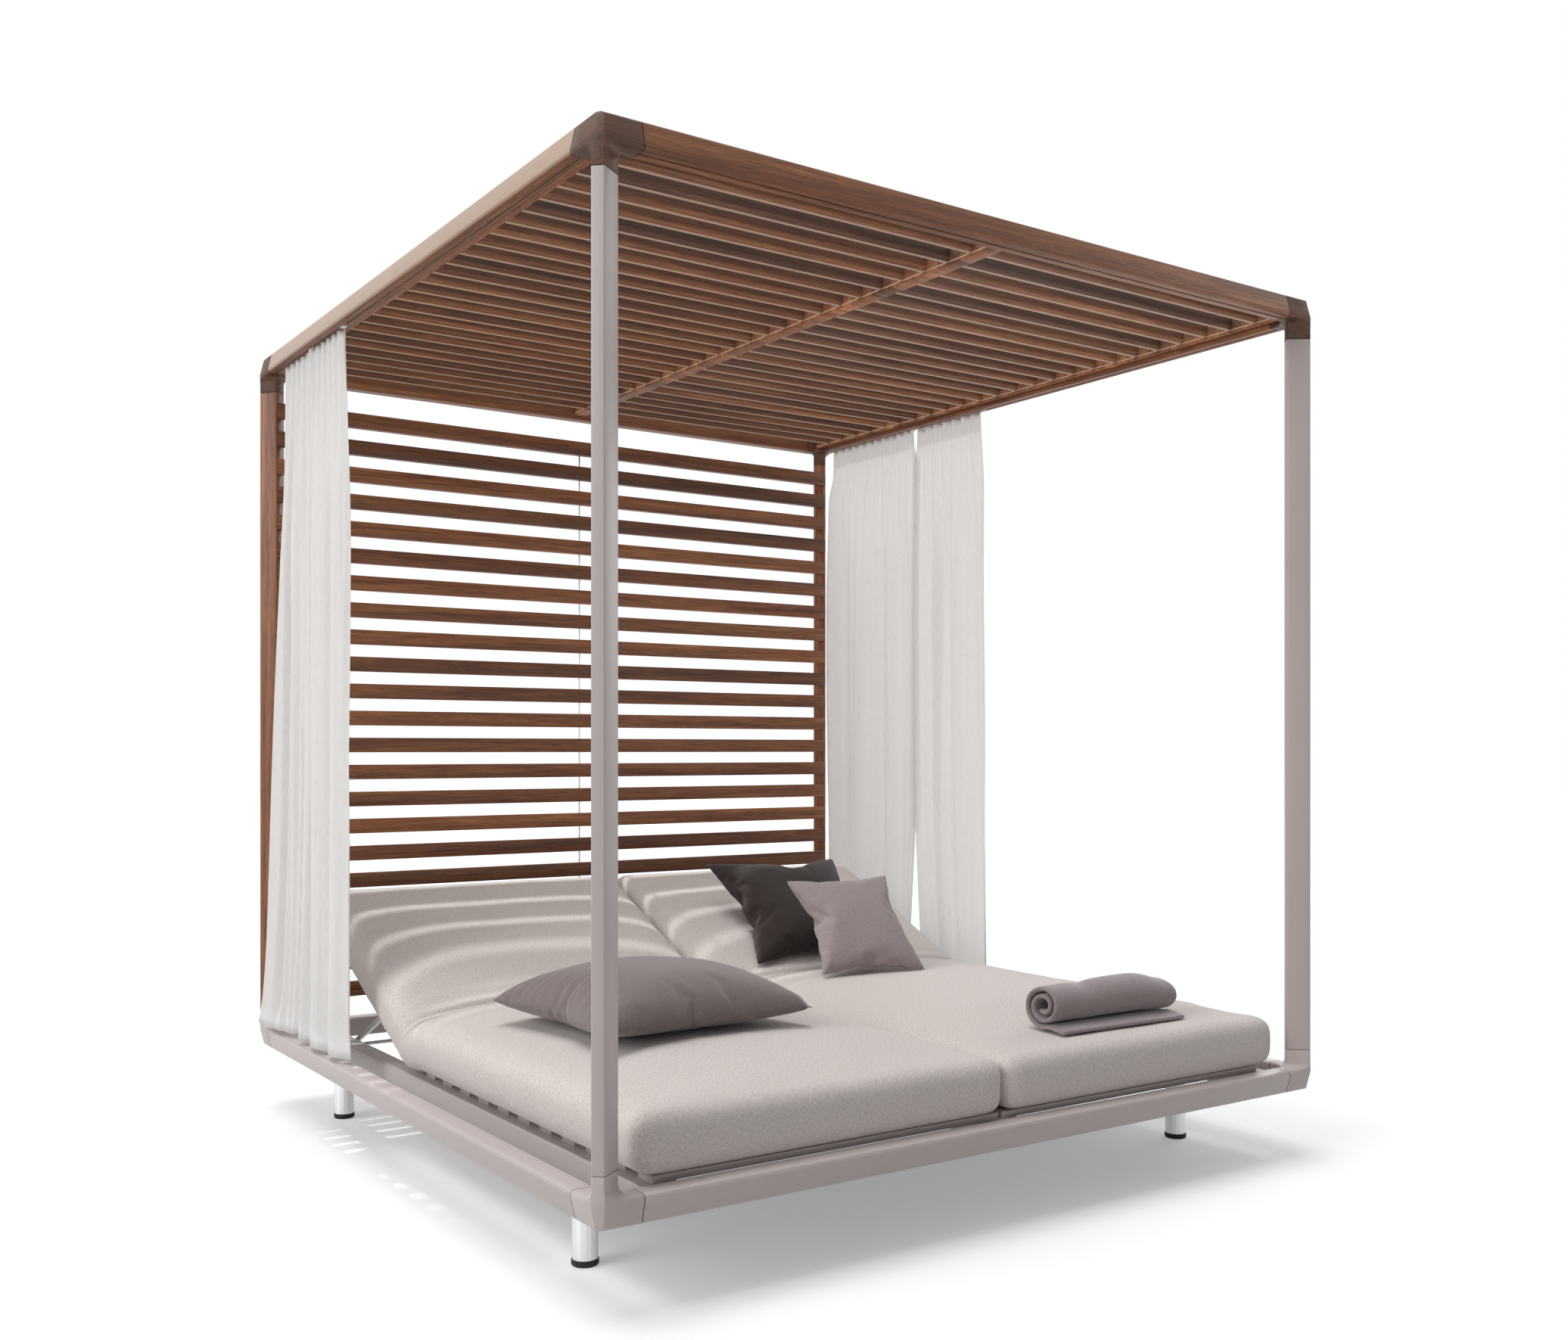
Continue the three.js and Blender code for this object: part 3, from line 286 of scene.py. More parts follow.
# %% [markdown]
# ## Rigid finishes
#
# The base, the front posts and the deck are aluminium with a powder coat. Powder melts
# into a skin with a fine orange peel, so the colour is even and the gloss is broken up.
# A bump of noise does that. Its real grain of 0.4 mm is drawn at 1.5 mm so that it shows.

# %% Powder coat
MM = 0.001
# How far off the bed's middle the beams and rails meet their corner pieces.
SEAMS = {"X": 0.902, "Y": 0.942}
SEAM_SHADOW_WIDTH = 2.4 * MM
SEAM_SHADOW_LEVEL = 0.45
PEEL_GRAIN = 1.5 * MM
PATCH = 400 * MM


def painted_seam_shadow(tree, place):
    """1 on the surface and low along the four joint lines, which mirror each other: a painted
    shadow in the joint gaps.
    """
    split = add_node(tree, "ShaderNodeSeparateXYZ", None, {0: place})
    lines = []
    for axis, away in SEAMS.items():
        side = maths(tree, "ABSOLUTE", split.outputs[axis])
        lines.append(maths(tree, "COMPARE", side, away, SEAM_SHADOW_WIDTH / 2))
    either = maths(tree, "MAXIMUM", lines[0], lines[1])
    return ranged(tree, either, 1.0, SEAM_SHADOW_LEVEL)


def powder_coat(name, code, roughness, seam_shadows=False):
    material, tree, shader = new_material(name)
    place = add_node(tree, "ShaderNodeTexCoord").outputs["Object"]
    peel = noise_at(tree, place, PEEL_GRAIN, 2.0)
    patches = noise_at(tree, place, PATCH, 3.0)
    tone = add_node(tree, "ShaderNodeHueSaturation", None, {}, {"Color": linear(code)})
    level = ranged(tree, patches.outputs["Fac"], 0.95, 1.05)
    # Painted shadow: the colour darkens along the joint gaps where members meet.
    if seam_shadows:
        level = maths(tree, "MULTIPLY", level, painted_seam_shadow(tree, place))
    tree.links.new(level.outputs[0], tone.inputs["Value"])
    bump = bump_of(tree, peel.outputs["Fac"], 0.12, 0.3 * MM)
    feed(tree, shader, {"Base Color": tone, "Normal": bump}, {
        "Roughness": roughness, "Metallic": 0.0})
    return material


taupe_coat = powder_coat("powder_coated_aluminium_taupe", "#B9AFAD", 0.42)
seam_shadowed_coat = powder_coat("powder_coated_aluminium_taupe_seam_shadowed", "#B9AFAD", 0.42, seam_shadows=True)
print("powder coats:", taupe_coat.name, seam_shadowed_coat.name)

# %% [markdown]
# The canopy, the rear wall and the rear posts are an oiled hardwood. Its grain is long
# fibres: noise that is stretched thirty times along the board gives them, a second,
# broader noise gives the darker heartwood bands, a wave of rings round the heart of the
# tree gives the late wood, and short dark flecks are the pores. Where members meet, a
# painted shadow darkens the joint. Faces that look up have bleached to grey, and on the
# left roof beam the faces towards the left lamp are painted paler, as painted light. A
# louvre's web has painted shade towards its top, and its lip has a painted highlight.
# Each slat was cut from another board, so a random shade is looked up from the slat's
# number.

# %% Oiled hardwood
STRETCH = {"x": (1 / 30, 1, 1), "y": (1, 1 / 30, 1), "z": (1, 1, 1 / 30)}
FIBRE, BAND, PORE, RING = 6 * MM, 42 * MM, 1.8 * MM, 8 * MM
BAND_BEND = 70 * MM
WOOD_SATURATION = 1.06
LIP_HIGHLIGHT = "#D8BCA6"
WOOD_STOPS = [(0.3, "#4C2A1B"), (0.44, "#7C4E36"), (0.57, "#9C6848"), (0.7, "#B8835C")]


def boards(tree, place, axis, pitch, start):
    """Counts the boards along an axis: a number for each, and the place within it."""
    split = add_node(tree, "ShaderNodeSeparateXYZ", None, {0: place})
    shifted = maths(tree, "SUBTRACT", split.outputs[axis], start)
    counted = maths(tree, "DIVIDE", shifted, pitch)
    number = maths(tree, "FLOOR", counted)
    luck = add_node(tree, "ShaderNodeTexWhiteNoise", {"noise_dimensions": "1D"}, {
        "W": number})
    within = maths(tree, "PINGPONG", shifted, pitch)
    parts = {name: split.outputs[name] for name in "XYZ"}
    parts[axis] = within
    local = add_node(tree, "ShaderNodeCombineXYZ", None, parts)
    return luck, local


def hardwood(name, grain, heart, board=None, painted_light_heights=None, seam_shadows=False, depth=1.0,
             sun=(0, 0, 1), bleached_and_lit="#A8998D"):
    """Oiled hardwood: grain runs along an axis, and heart is where the tree's middle was.

    Board is the axis, pitch and start of the boards. The louvre heights are where a
    louvre's web starts, where it ends and where its lip is: painted shade darkens the web
    towards its top, light is painted under the ribs, and a highlight is painted on the lip.
    """
    material, tree, shader = new_material(name)
    place = add_node(tree, "ShaderNodeTexCoord").outputs["Object"]
    member = vectors(tree, "ABSOLUTE", place)
    along = stretched(tree, place, STRETCH[grain])
    if board:
        luck, member = boards(tree, place, *board)
        along = vectors(tree, "ADD", along, scaled(tree, luck.outputs["Color"], 7.0))
    fibre = noise_at(tree, along, FIBRE, 5.0, Roughness=0.6, Distortion=0.15)
    broad = noise_at(tree, along, BAND, 3.0, Distortion=0.9)
    pores = noise_at(tree, along, PORE, 1.0)
    bends = scaled(tree, broad.outputs["Color"], BAND_BEND)
    wandering = vectors(tree, "ADD", vectors(tree, "SUBTRACT", member, heart), bends)
    rings = add_node(tree, "ShaderNodeTexWave", {
        "wave_type": "RINGS", "rings_direction": grain.upper(), "wave_profile": "SAW"}, {
        "Vector": wandering}, {
        "Scale": math.pi / (10 * RING), "Distortion": 1.2, "Detail": 3.0,
        "Detail Scale": 2.0})
    late = ranged(tree, rings.outputs["Fac"], 1.0, 0.66, 0.6, 1.0, smooth=True)
    blend = add_node(tree, "ShaderNodeMix", {"data_type": "FLOAT"}, {
        2: fibre.outputs["Fac"], 3: broad.outputs["Fac"]}, {0: 0.55})
    colour = ramp_colours(tree, blend, WOOD_STOPS)
    deep = ranged(tree, pores.outputs["Fac"], 0.62, 1.0, 0.32, 0.5)
    shade = maths(tree, "MULTIPLY", late, deep)
    # Painted shadow: the colour darkens along the joint gaps where members meet.
    if seam_shadows:
        shade = maths(tree, "MULTIPLY", shade, painted_seam_shadow(tree, place))
    if depth != 1.0:
        shade = maths(tree, "MULTIPLY", shade, depth)
    if board:
        spread = ranged(tree, luck.outputs["Value"], 0.62, 1.2)
        shade = maths(tree, "MULTIPLY", shade, spread)
    if painted_light_heights:
        web, top, lip_height = painted_light_heights
        height = add_node(tree, "ShaderNodeSeparateXYZ", None, {0: place})
        # Painted shade: the web darkens towards its top, where the louvres shade each other.
        painted_web_shade = ranged(tree, height.outputs["Z"], 1.0, 0.5, web, top, smooth=True)
        shade = maths(tree, "MULTIPLY", shade, painted_web_shade)
        # Under the ribs, light comes back up from the pale bed.
        below = ranged(tree, height.outputs["Z"], 1.5, 1.0, web - 10 * MM, web - 5 * MM)
        shade = maths(tree, "MULTIPLY", shade, below)
    inked = add_node(tree, "ShaderNodeHueSaturation", None, {
        "Color": colour, "Value": shade}, {
        "Saturation": WOOD_SATURATION})
    # Faces turned towards the given direction mix towards a pale grey: sun-bleaching on the tops,
    # painted light on the faces that look towards the left lamp.
    facing = add_node(tree, "ShaderNodeNewGeometry")
    up = vectors(tree, "DOT_PRODUCT", facing.outputs["Normal"], sun)
    bleach_and_light_share = ranged(tree, up.outputs["Value"], 0.0, 0.7, 0.3, 0.8, smooth=True)
    grey = tinted(tree, bleach_and_light_share, inked, bleached_and_lit)
    if painted_light_heights:
        # Painted highlight: a pale band along each louvre's lip, where light catches the rounded
        # edge.
        lip = maths(tree, "COMPARE", height.outputs["Z"], lip_height, 1.4 * MM)
        worn = maths(tree, "MULTIPLY", lip, 0.7)
        grey = tinted(tree, worn, grey.outputs[2], LIP_HIGHLIGHT)
    relief = maths(tree, "ADD", fibre.outputs["Fac"], deep)
    bump = bump_of(tree, relief, 0.35, 0.5 * MM)
    matt = ranged(tree, fibre.outputs["Fac"], 0.6, 0.38)
    feed(tree, shader, {
        "Base Color": grey.outputs[2], "Normal": bump, "Roughness": matt}, {
        "Specular IOR Level": 0.5})
    return material


LOUVRE_PITCH = 1.984 / 25
LOUVRES_FROM = -0.992 + LOUVRE_PITCH / 2
LOUVRE_HEIGHTS = (2.093, 2.109, 2.0903)
WALL_PITCH = 0.0793
WALL_FIRST = 0.288 - 0.018
beam_wood_x = hardwood("oiled_hardwood_along_x", "x", (0.0, 0.955, 2.04), seam_shadows=True, depth=0.85)
beam_wood_y = hardwood("oiled_hardwood_along_y", "y", (0.915, 0.0, 2.04), seam_shadows=True)
# Painted light: this beam's faces that look towards the left lamp are mixed to a paler grey.
lamp_side_wood = hardwood("oiled_hardwood_lamp_side_painted", "y", (0.915, 0.0, 2.04), seam_shadows=True,
                       sun=(-0.8, 0, 0.6), bleached_and_lit="#C9B5A4")
corner_wood = hardwood("oiled_hardwood_corner", "x", (0.0, 0.93, 2.0), seam_shadows=True, depth=0.36)
post_wood = hardwood("oiled_hardwood_upright", "z", (0.93, 0.99, 0.0), depth=1.2)
louvre_wood = hardwood("oiled_hardwood_louvres", "x", (0.0, 0.05, 2.04),
                       ("Y", LOUVRE_PITCH, LOUVRES_FROM), LOUVRE_HEIGHTS)
wall_wood = hardwood("oiled_hardwood_wall_slats", "x", (0.0, 0.93, 0.03),
                     ("Z", WALL_PITCH, WALL_FIRST))
print("hardwood finishes:", [m.name for m in bpy.data.materials if "hardwood" in m.name])

# %% [markdown]
# The legs are satin anodised tube, the tracks and stays are brushed stainless steel, the
# feet are black rubber and the runners are nylon. The brushing is noise stretched along
# the length, and it changes the gloss more than the colour.

# %% Small metal, rubber and nylon finishes
def brushed_metal(name, code, roughness, grain):
    material, tree, shader = new_material(name)
    place = add_node(tree, "ShaderNodeTexCoord").outputs["Object"]
    along = stretched(tree, place, STRETCH[grain])
    lines = noise_at(tree, along, 1.2 * MM, 2.0)
    gloss = ranged(tree, lines.outputs["Fac"], roughness - 0.08, roughness + 0.1)
    bump = bump_of(tree, lines.outputs["Fac"], 0.08, 0.1 * MM)
    feed(tree, shader, {"Roughness": gloss, "Normal": bump}, {
        "Base Color": linear(code), "Metallic": 1.0})
    return material


def moulded(name, code, roughness):
    material, tree, shader = new_material(name)
    place = add_node(tree, "ShaderNodeTexCoord").outputs["Object"]
    grit = noise_at(tree, place, 2 * MM, 3.0)
    bump = bump_of(tree, grit.outputs["Fac"], 0.2, 0.3 * MM)
    worn = ranged(tree, grit.outputs["Fac"], roughness - 0.06, roughness + 0.06)
    feed(tree, shader, {"Roughness": worn, "Normal": bump}, {
        "Base Color": linear(code)})
    return material


leg_metal = brushed_metal("anodised_aluminium_satin", "#E4E4E6", 0.46, "z")
track_metal_x = brushed_metal("brushed_stainless_along_x", "#C9C8C5", 0.34, "x")
track_metal_y = brushed_metal("brushed_stainless_along_y", "#C9C8C5", 0.34, "y")
foot_rubber = moulded("moulded_rubber_black", "#1B1A1A", 0.75)
runner_nylon = moulded("moulded_nylon_white", "#E9E7E3", 0.45)

# %% [markdown]
# Each solid node keeps its shape and gets only a finish. Real edges are never knife
# sharp, so a fine bevel eases them, and shading is smooth where two faces meet at a
# small angle, which hides the facets of round legs and corners.

# %% Dress the solid nodes
FINISHES = [
    (("base_",), seam_shadowed_coat, "frame_paint"),
    (("post_front", "side_rail", "centre_rail", "seat_deck", "backrest_frame"),
     taupe_coat, "frame_paint"),
    (("post_rear",), post_wood, "timber"),
    (("roof_corner",), corner_wood, "timber"),
    (("roof_beam_front", "roof_beam_rear"), beam_wood_x, "timber"),
    (("roof_beam_left",), lamp_side_wood, "timber"),
    (("roof_beam_right",), beam_wood_y, "timber"),
    (("roof_louvre_panel",), louvre_wood, "timber"),
    (("rear_wall_panel",), wall_wood, "timber"),
    (("curtain_track_front",), track_metal_x, "bright_metal"),
    (("curtain_track", "backrest_stay"), track_metal_y, "bright_metal"),
    (("leg_",), leg_metal, "leg_metal"),
    (("foot_cap",), foot_rubber, "foot_rubber"),
    (("curtain_runner",), runner_nylon, "runner_nylon"),
]


def shade_by_angle(limit):
    """A modifier group that shades a solid smooth, with creases above the limit sharp."""
    group = bpy.data.node_groups.new("shade_by_angle", "GeometryNodeTree")
    group.interface.new_socket("Geometry", in_out="INPUT", socket_type="NodeSocketGeometry")
    group.interface.new_socket("Geometry", in_out="OUTPUT", socket_type="NodeSocketGeometry")
    start = add_node(group, "NodeGroupInput")
    angle = add_node(group, "GeometryNodeInputMeshEdgeAngle")
    flat_enough = add_node(group, "FunctionNodeCompare", {"operation": "LESS_THAN"}, {
        0: angle.outputs["Unsigned Angle"]}, {1: math.radians(limit)})
    faces = add_node(group, "GeometryNodeSetShadeSmooth", None, {"Geometry": start})
    edges = add_node(group, "GeometryNodeSetShadeSmooth", {"domain": "EDGE"}, {
        "Geometry": faces, "Shade Smooth": flat_enough})
    add_node(group, "NodeGroupOutput", None, {0: edges})
    return group


CREASE = 32
smooth_group = shade_by_angle(CREASE)


def ease_edges(thing, width):
    """Welds the loose triangles, rounds the arrises and shades the rest smooth."""
    weld = thing.modifiers.new("weld", "WELD")
    weld.merge_threshold = 0.02 * MM
    bevel = thing.modifiers.new("arris", "BEVEL")
    bevel.width = width
    bevel.segments = 2
    bevel.limit_method = "ANGLE"
    bevel.angle_limit = math.radians(CREASE)
    bevel.use_clamp_overlap = True
    shade = thing.modifiers.new("shade", "NODES")
    shade.node_group = smooth_group


ARRIS = {"timber": 1.6 * MM, "frame_paint": 0.9 * MM}
for node_name, thing in sorted(nodes.items()):
    for starts, material, slot_name in FINISHES:
        if node_name.startswith(starts):
            thing.data.materials.clear()
            thing.data.materials.append(material)
            if slot_name in ARRIS:
                ease_edges(thing, ARRIS[slot_name])
            break
print("dressed nodes:", sum(1 for o in nodes.values() if o.data.materials))

# %% [markdown]
# A thin steel rod ties the slats of the rear wall together behind their middle. It is
# part of the wooden solid, so a bright sleeve is drawn round it here.

# %% The tie rod's bright sleeve
wall_low, wall_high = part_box("rear_wall_panel")
SLEEVE_RADIUS, SLEEVE_SIDES = 2.6 * MM, 12
SLAT_THICKNESS, ROD_SUNK, ROD_RADIUS = 20 * MM, 0.5 * MM, 2 * MM
ROD_INSET = 12 * MM
ROD_Y = wall_low.y + SLAT_THICKNESS - ROD_SUNK + ROD_RADIUS
ROD_TALL = wall_high.z - wall_low.z - 2 * ROD_INSET
rod = bmesh.new()
bmesh.ops.create_circle(rod, segments=SLEEVE_SIDES, radius=SLEEVE_RADIUS)
bmesh.ops.translate(rod, verts=rod.verts, vec=(0, ROD_Y, wall_low.z + ROD_INSET))
pulled = bmesh.ops.extrude_edge_only(rod, edges=rod.edges[:])
pulled_verts = [e for e in pulled["geom"] if isinstance(e, bmesh.types.BMVert)]
bmesh.ops.translate(rod, verts=pulled_verts, vec=(0, 0, ROD_TALL))
bmesh.ops.holes_fill(rod, edges=rod.edges[:], sides=SLEEVE_SIDES)
bmesh.ops.recalc_face_normals(rod, faces=rod.faces[:])
tie_rod = object_from("rear_wall_tie_rod", rod, leg_metal)
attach(tie_rod, "frame")
print("tie rod at y", round(ROD_Y, 4))

# %% [markdown]
# ## Cloth finishes
#
# Outdoor cloth is woven from thick solution-dyed yarn. Light and dark yarns give it a
# mottled look, with short slubs that run both ways. Two stretched noises on the piece's
# own cloth map draw the slubs, and two waves draw the ribs of the weave. The real yarn
# is 0.7 mm thick and is drawn at 1.2 to 2 mm so that it shows.

# %% Woven cloth
def woven(name, colours, sizes, sheen=0.2, rough=0.92):
    """Colours are dark, base and light. Sizes are yarn, slub and relief in millimetres."""
    material, tree, shader = new_material(name)
    yarn, slub, relief = [size * MM for size in sizes]
    cloth = add_node(tree, "ShaderNodeUVMap", {"uv_map": "cloth"})
    fields = []
    for stretch in ((1, 1 / 8, 1), (1 / 8, 1, 1)):
        along = stretched(tree, cloth, stretch)
        fields.append(noise_at(tree, along, slub, 3.0, Roughness=0.6))
    slubs = maths(tree, "ADD", fields[0].outputs["Fac"], fields[1].outputs["Fac"])
    half = maths(tree, "MULTIPLY", slubs, 0.5)
    colour = ramp_colours(tree, half, list(zip((0.4, 0.5, 0.6), colours)))
    ribs = []
    for direction in ("X", "Y"):
        ribs.append(add_node(tree, "ShaderNodeTexWave", {
            "wave_type": "BANDS", "bands_direction": direction}, {"Vector": cloth}, {
            "Scale": 1 / yarn / 20 * math.pi, "Distortion": 0.4, "Detail": 1.0}))
    woven_height = maths(tree, "MULTIPLY", ribs[0].outputs["Fac"], ribs[1].outputs["Fac"])
    height = maths(tree, "ADD", woven_height, half)
    bump = bump_of(tree, height, 0.5, relief)
    feed(tree, shader, {"Base Color": colour, "Normal": bump}, {
        "Roughness": rough, "Sheen Weight": sheen, "Specular IOR Level": 0.2})
    return material


mattress_cloth = woven("woven_olefin_greige", ("#B7AEA9", "#CEC6C2", "#DED7D3"), (1.6, 1.1, 0.5))
lying_cloth = woven("satin_weave_taupe", ("#6C605F", "#746867", "#7D7170"), (1.2, 1.2, 0.15),
                    sheen=0.3, rough=0.5)
dark_cloth = woven("woven_olefin_dark", ("#2B2322", "#342B2A", "#3D3433"), (1.4, 1.3, 0.3))
pale_cloth = woven("woven_olefin_pale_grey", ("#908483", "#9E9291", "#A99E9D"), (1.4, 1.3, 0.3))
throw_cloth = woven("brushed_wool_taupe", ("#83777A", "#8D8181", "#96898B"), (2.0, 1.6, 0.4),
                    sheen=0.5, rough=0.7)
print("cloth finishes:", [m.name for m in bpy.data.materials if "woven" in m.name])


def map_cloth(bm, shift=(0.0, 0.0)):
    """Lays the cloth's own map on each face, in metres, along its flattest direction."""
    layer = bm.loops.layers.uv.get("cloth") or bm.loops.layers.uv.new("cloth")
    for face in bm.faces:
        face.normal_update()
        flat = max(range(3), key=lambda axis: abs(face.normal[axis]))
        first, second = [axis for axis in range(3) if axis != flat]
        for loop in face.loops:
            loop[layer].uv = (loop.vert.co[first] + shift[0], loop.vert.co[second] + shift[1])


def refine(thing):
    """Divides a mesh once more, in the viewport as in the render."""
    finer = thing.modifiers.new("finer", "SUBSURF")
    finer.levels = finer.render_levels = 1


# %% [markdown]
# ## Mattresses
#
# Each mattress is one long boxed pad that bends over the backrest's hinge. It is made
# flat first: a cube is cut into a fine grid, its edges are rounded, its top is crowned,
# and creases are pressed in where the pad folds. Then it is bent to the rest angle.

# %% Values of the mattresses, from the solid model
HINGE = Vector((0.0, 0.2, 0.185))
REST_ANGLE = math.radians(25)
PAD_LOW = 0.2328
PAD_SIDE = 0.118
PAD_CROWN = 0.038
PAD_HALF_WIDTH = 0.442
PAD_FRONT = -1.005
PAD_REAR = 0.9
PAD_MIDDLE = {"left": -0.446, "right": 0.446}
PAD_CUTS = (36, 180, 7)
PAD_ROUNDING = 0.034
CROWN_SHARES = [(0.0, 0.0), (0.15, 0.15), (0.375, 0.35), (1.0, 1.0)]
CROWN_RUN = 0.4
BULGE = 0.010
WAVE, DENT = 0.0035, 0.0016
PUCKER_UP, PUCKER_OUT = 0.0045, 0.004
FOLD_WANDER = 0.012
INNER_ROOM = 0.2


def between(shares, run):
    """Looks run up in a table of (run, value) pairs, with straight lines between them."""
    for (run_a, value_a), (run_b, value_b) in zip(shares, shares[1:]):
        if run <= run_b:
            return value_a + (value_b - value_a) * max(run - run_a, 0.0) / (run_b - run_a)
    return shares[-1][1]


def smoothstep(low, high, value):
    share = min(max((value - low) / (high - low), 0.0), 1.0)
    return share * share * (3 - 2 * share)


print("a pad is", round(PAD_REAR - PAD_FRONT, 3), "m long and", 2 * PAD_HALF_WIDTH, "m wide")

# %% [markdown]
# Foam in a sewn cover has no flat faces and no straight edges. A block with a fine grid
# has enough vertices to round its edges first and to crease and bend it afterwards.

# %% A rounded, gridded box
def axis_of(edge):
    """The axis along which an edge of a box runs."""
    run = edge.verts[0].co - edge.verts[1].co
    return max(range(3), key=lambda axis: abs(run[axis]))


def gridded_box(size, cuts):
    """A cube of that size with its edges along each axis cut that many times."""
    bm = bmesh.new()
    bmesh.ops.create_cube(bm, size=1.0)
    for axis in range(3):
        edges = [edge for edge in bm.edges if axis_of(edge) == axis]
        bmesh.ops.subdivide_edges(bm, edges=edges, cuts=cuts[axis], use_grid_fill=True)
    bmesh.ops.scale(bm, verts=bm.verts, vec=size)
    return bm


def round_edges(bm, half, radius):
    """Pulls each vertex of a box onto edges and corners of that radius."""
    inner = Vector([half[axis] - radius for axis in range(3)])
    for vert in bm.verts:
        core = Vector([min(max(vert.co[axis], -inner[axis]), inner[axis]) for axis in range(3)])
        out = vert.co - core
        if out.length > 1e-9:
            vert.co = core + out.normalized() * radius


print("a pad is cut", PAD_CUTS, "times and rounded by", PAD_ROUNDING, "m")

# %% [markdown]
# The grid is moved vertex by vertex. The crown makes the top swell between its seams,
# noise makes it lie less than flat, the sides bulge and pucker along the piping, and
# five creases gather where the pad turns up over the hinge. The side next to the other
# mattress bulges less, because the two press against each other.

# %% Make one mattress
# Each crease: its place behind the hinge, its depth and its width.
FOLD_LINES = [(-0.105, 0.007, 0.012), (-0.064, 0.012, 0.011), (-0.026, 0.015, 0.010),
              (0.016, 0.012, 0.011), (0.062, 0.006, 0.014)]


def mattress(side):
    middle = PAD_MIDDLE[side]
    length = PAD_REAR - PAD_FRONT
    size = Vector((2 * PAD_HALF_WIDTH, length, PAD_SIDE))
    bm = gridded_box(size, PAD_CUTS)
    round_edges(bm, size / 2, PAD_ROUNDING)
    map_cloth(bm, (middle, 0.0))
    seed = Vector((0, 0, 3.1 if side == "left" else 8.7))
    for vert in bm.verts:
        x, y, z = vert.co
        across = x / PAD_HALF_WIDTH
        lift = (z + PAD_SIDE / 2) / PAD_SIDE
        run = min(y + length / 2, length / 2 - y) / CROWN_RUN
        crown = PAD_CROWN * between(CROWN_SHARES, run) * (1 - abs(across) ** 3.5)
        here = Vector((x + middle, y, 0)) * 2.2 + seed
        soft = WAVE * noise.noise(here) + DENT * noise.noise(here * 3.3)
        vert.co.z += lift * (crown + soft * (1 if lift > 0.5 else 0))
        bulge = BULGE * (1 - (2 * lift - 1) ** 2)
        room = INNER_ROOM if x * middle < 0 else 1.0
        if abs(across) > 0.9:
            vert.co.x += math.copysign(room * bulge * (abs(across) - 0.9) / 0.1, x)
        if abs(y) > length / 2 - 0.05:
            vert.co.y += math.copysign(bulge * 0.8, y)
        world_y = y + (PAD_FRONT + PAD_REAR) / 2
        wander = FOLD_WANDER * noise.noise(Vector((x * 3 + middle, 0, seed.z)))
        rim = smoothstep(0.72, 1.0, abs(across))
        pucker = noise.noise(Vector((math.copysign(3, x), world_y * 13, seed.z)))
        vert.co.z += PUCKER_UP * lift * rim * pucker
        vert.co.x += math.copysign(PUCKER_OUT * room * rim * pucker, x)
        for offset, depth, width in FOLD_LINES:
            away = (world_y - HINGE.y - 0.01 - offset - wander) / width
            deep = depth * (0.7 + 0.6 * noise.noise(here * 1.7))
            vert.co.z -= lift * deep * math.exp(-away * away)
        vert.co.x += middle
        vert.co.y = world_y
        vert.co.z += PAD_LOW + PAD_SIDE / 2
    for vert in bm.verts:
        y, z = vert.co.y - HINGE.y, vert.co.z - HINGE.z
        share = smoothstep(-0.11, 0.06, y)
        angle = REST_ANGLE * share
        vert.co.y = HINGE.y + y * math.cos(angle) - z * math.sin(angle)
        vert.co.z = HINGE.z + y * math.sin(angle) + z * math.cos(angle)
    pad = object_from(f"mattress_{side}", bm, mattress_cloth)
    refine(pad)
    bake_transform(pad)
    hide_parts(f"mattress_seat_{side}", f"mattress_fold_{side}", f"mattress_back_{side}")
    return pad


pads = {side: mattress(side) for side in PAD_MIDDLE}
print("mattresses:", {side: len(pad.data.vertices) for side, pad in pads.items()})

# %% [markdown]
# ## Pillows
#
# A scatter pillow is two square sheets sewn together and stuffed. The natural way to get
# its drawn-in sides, sharp corners and the small puckers along the seam is to do the
# same: two flat grids are joined at the rim and blown up with cloth pressure. The result
# is then scaled to the room that its solid has and mixed with a share of an even pillow
# form, because a well-filled pillow has few creases. A few gathers are added at one end.

# %% Blow up a pillow
PILLOW_CELL = 10.5 * MM
CLOTH_FRAMES = 26
SEAM_GAP = 0.0035


def pillow_shape(name, width, length, seed):
    bm = bmesh.new()
    cells = round(width / PILLOW_CELL)
    bmesh.ops.create_grid(bm, x_segments=cells, y_segments=cells, size=0.5)
    bmesh.ops.scale(bm, verts=bm.verts, vec=(width, length, 1))
    copied = bmesh.ops.duplicate(bm, geom=bm.verts[:] + bm.edges[:] + bm.faces[:])
    low = {g for g in copied["geom"] if isinstance(g, bmesh.types.BMVert)}
    flipped = [g for g in copied["geom"] if isinstance(g, bmesh.types.BMFace)]
    bmesh.ops.reverse_faces(bm, faces=flipped)
    for vert in bm.verts:
        u, v = 2 * vert.co.x / width, 2 * vert.co.y / length
        start = 0.012 * max((1 - u ** 4) * (1 - v ** 4), 0.0) ** 0.5
        vert.co.z = -start if vert in low else start
        vert.co += 0.0006 * noise.noise_vector(vert.co * 40 + Vector((seed, 0, 0)))
    bmesh.ops.remove_doubles(bm, verts=bm.verts, dist=SEAM_GAP)
    bmesh.ops.recalc_face_normals(bm, faces=bm.faces[:])
    if bm.calc_volume(signed=True) < 0:
        bmesh.ops.reverse_faces(bm, faces=bm.faces[:])
    mesh = bpy.data.meshes.new(name)
    bm.to_mesh(mesh)
    bm.free()
    return new_object(name, mesh)


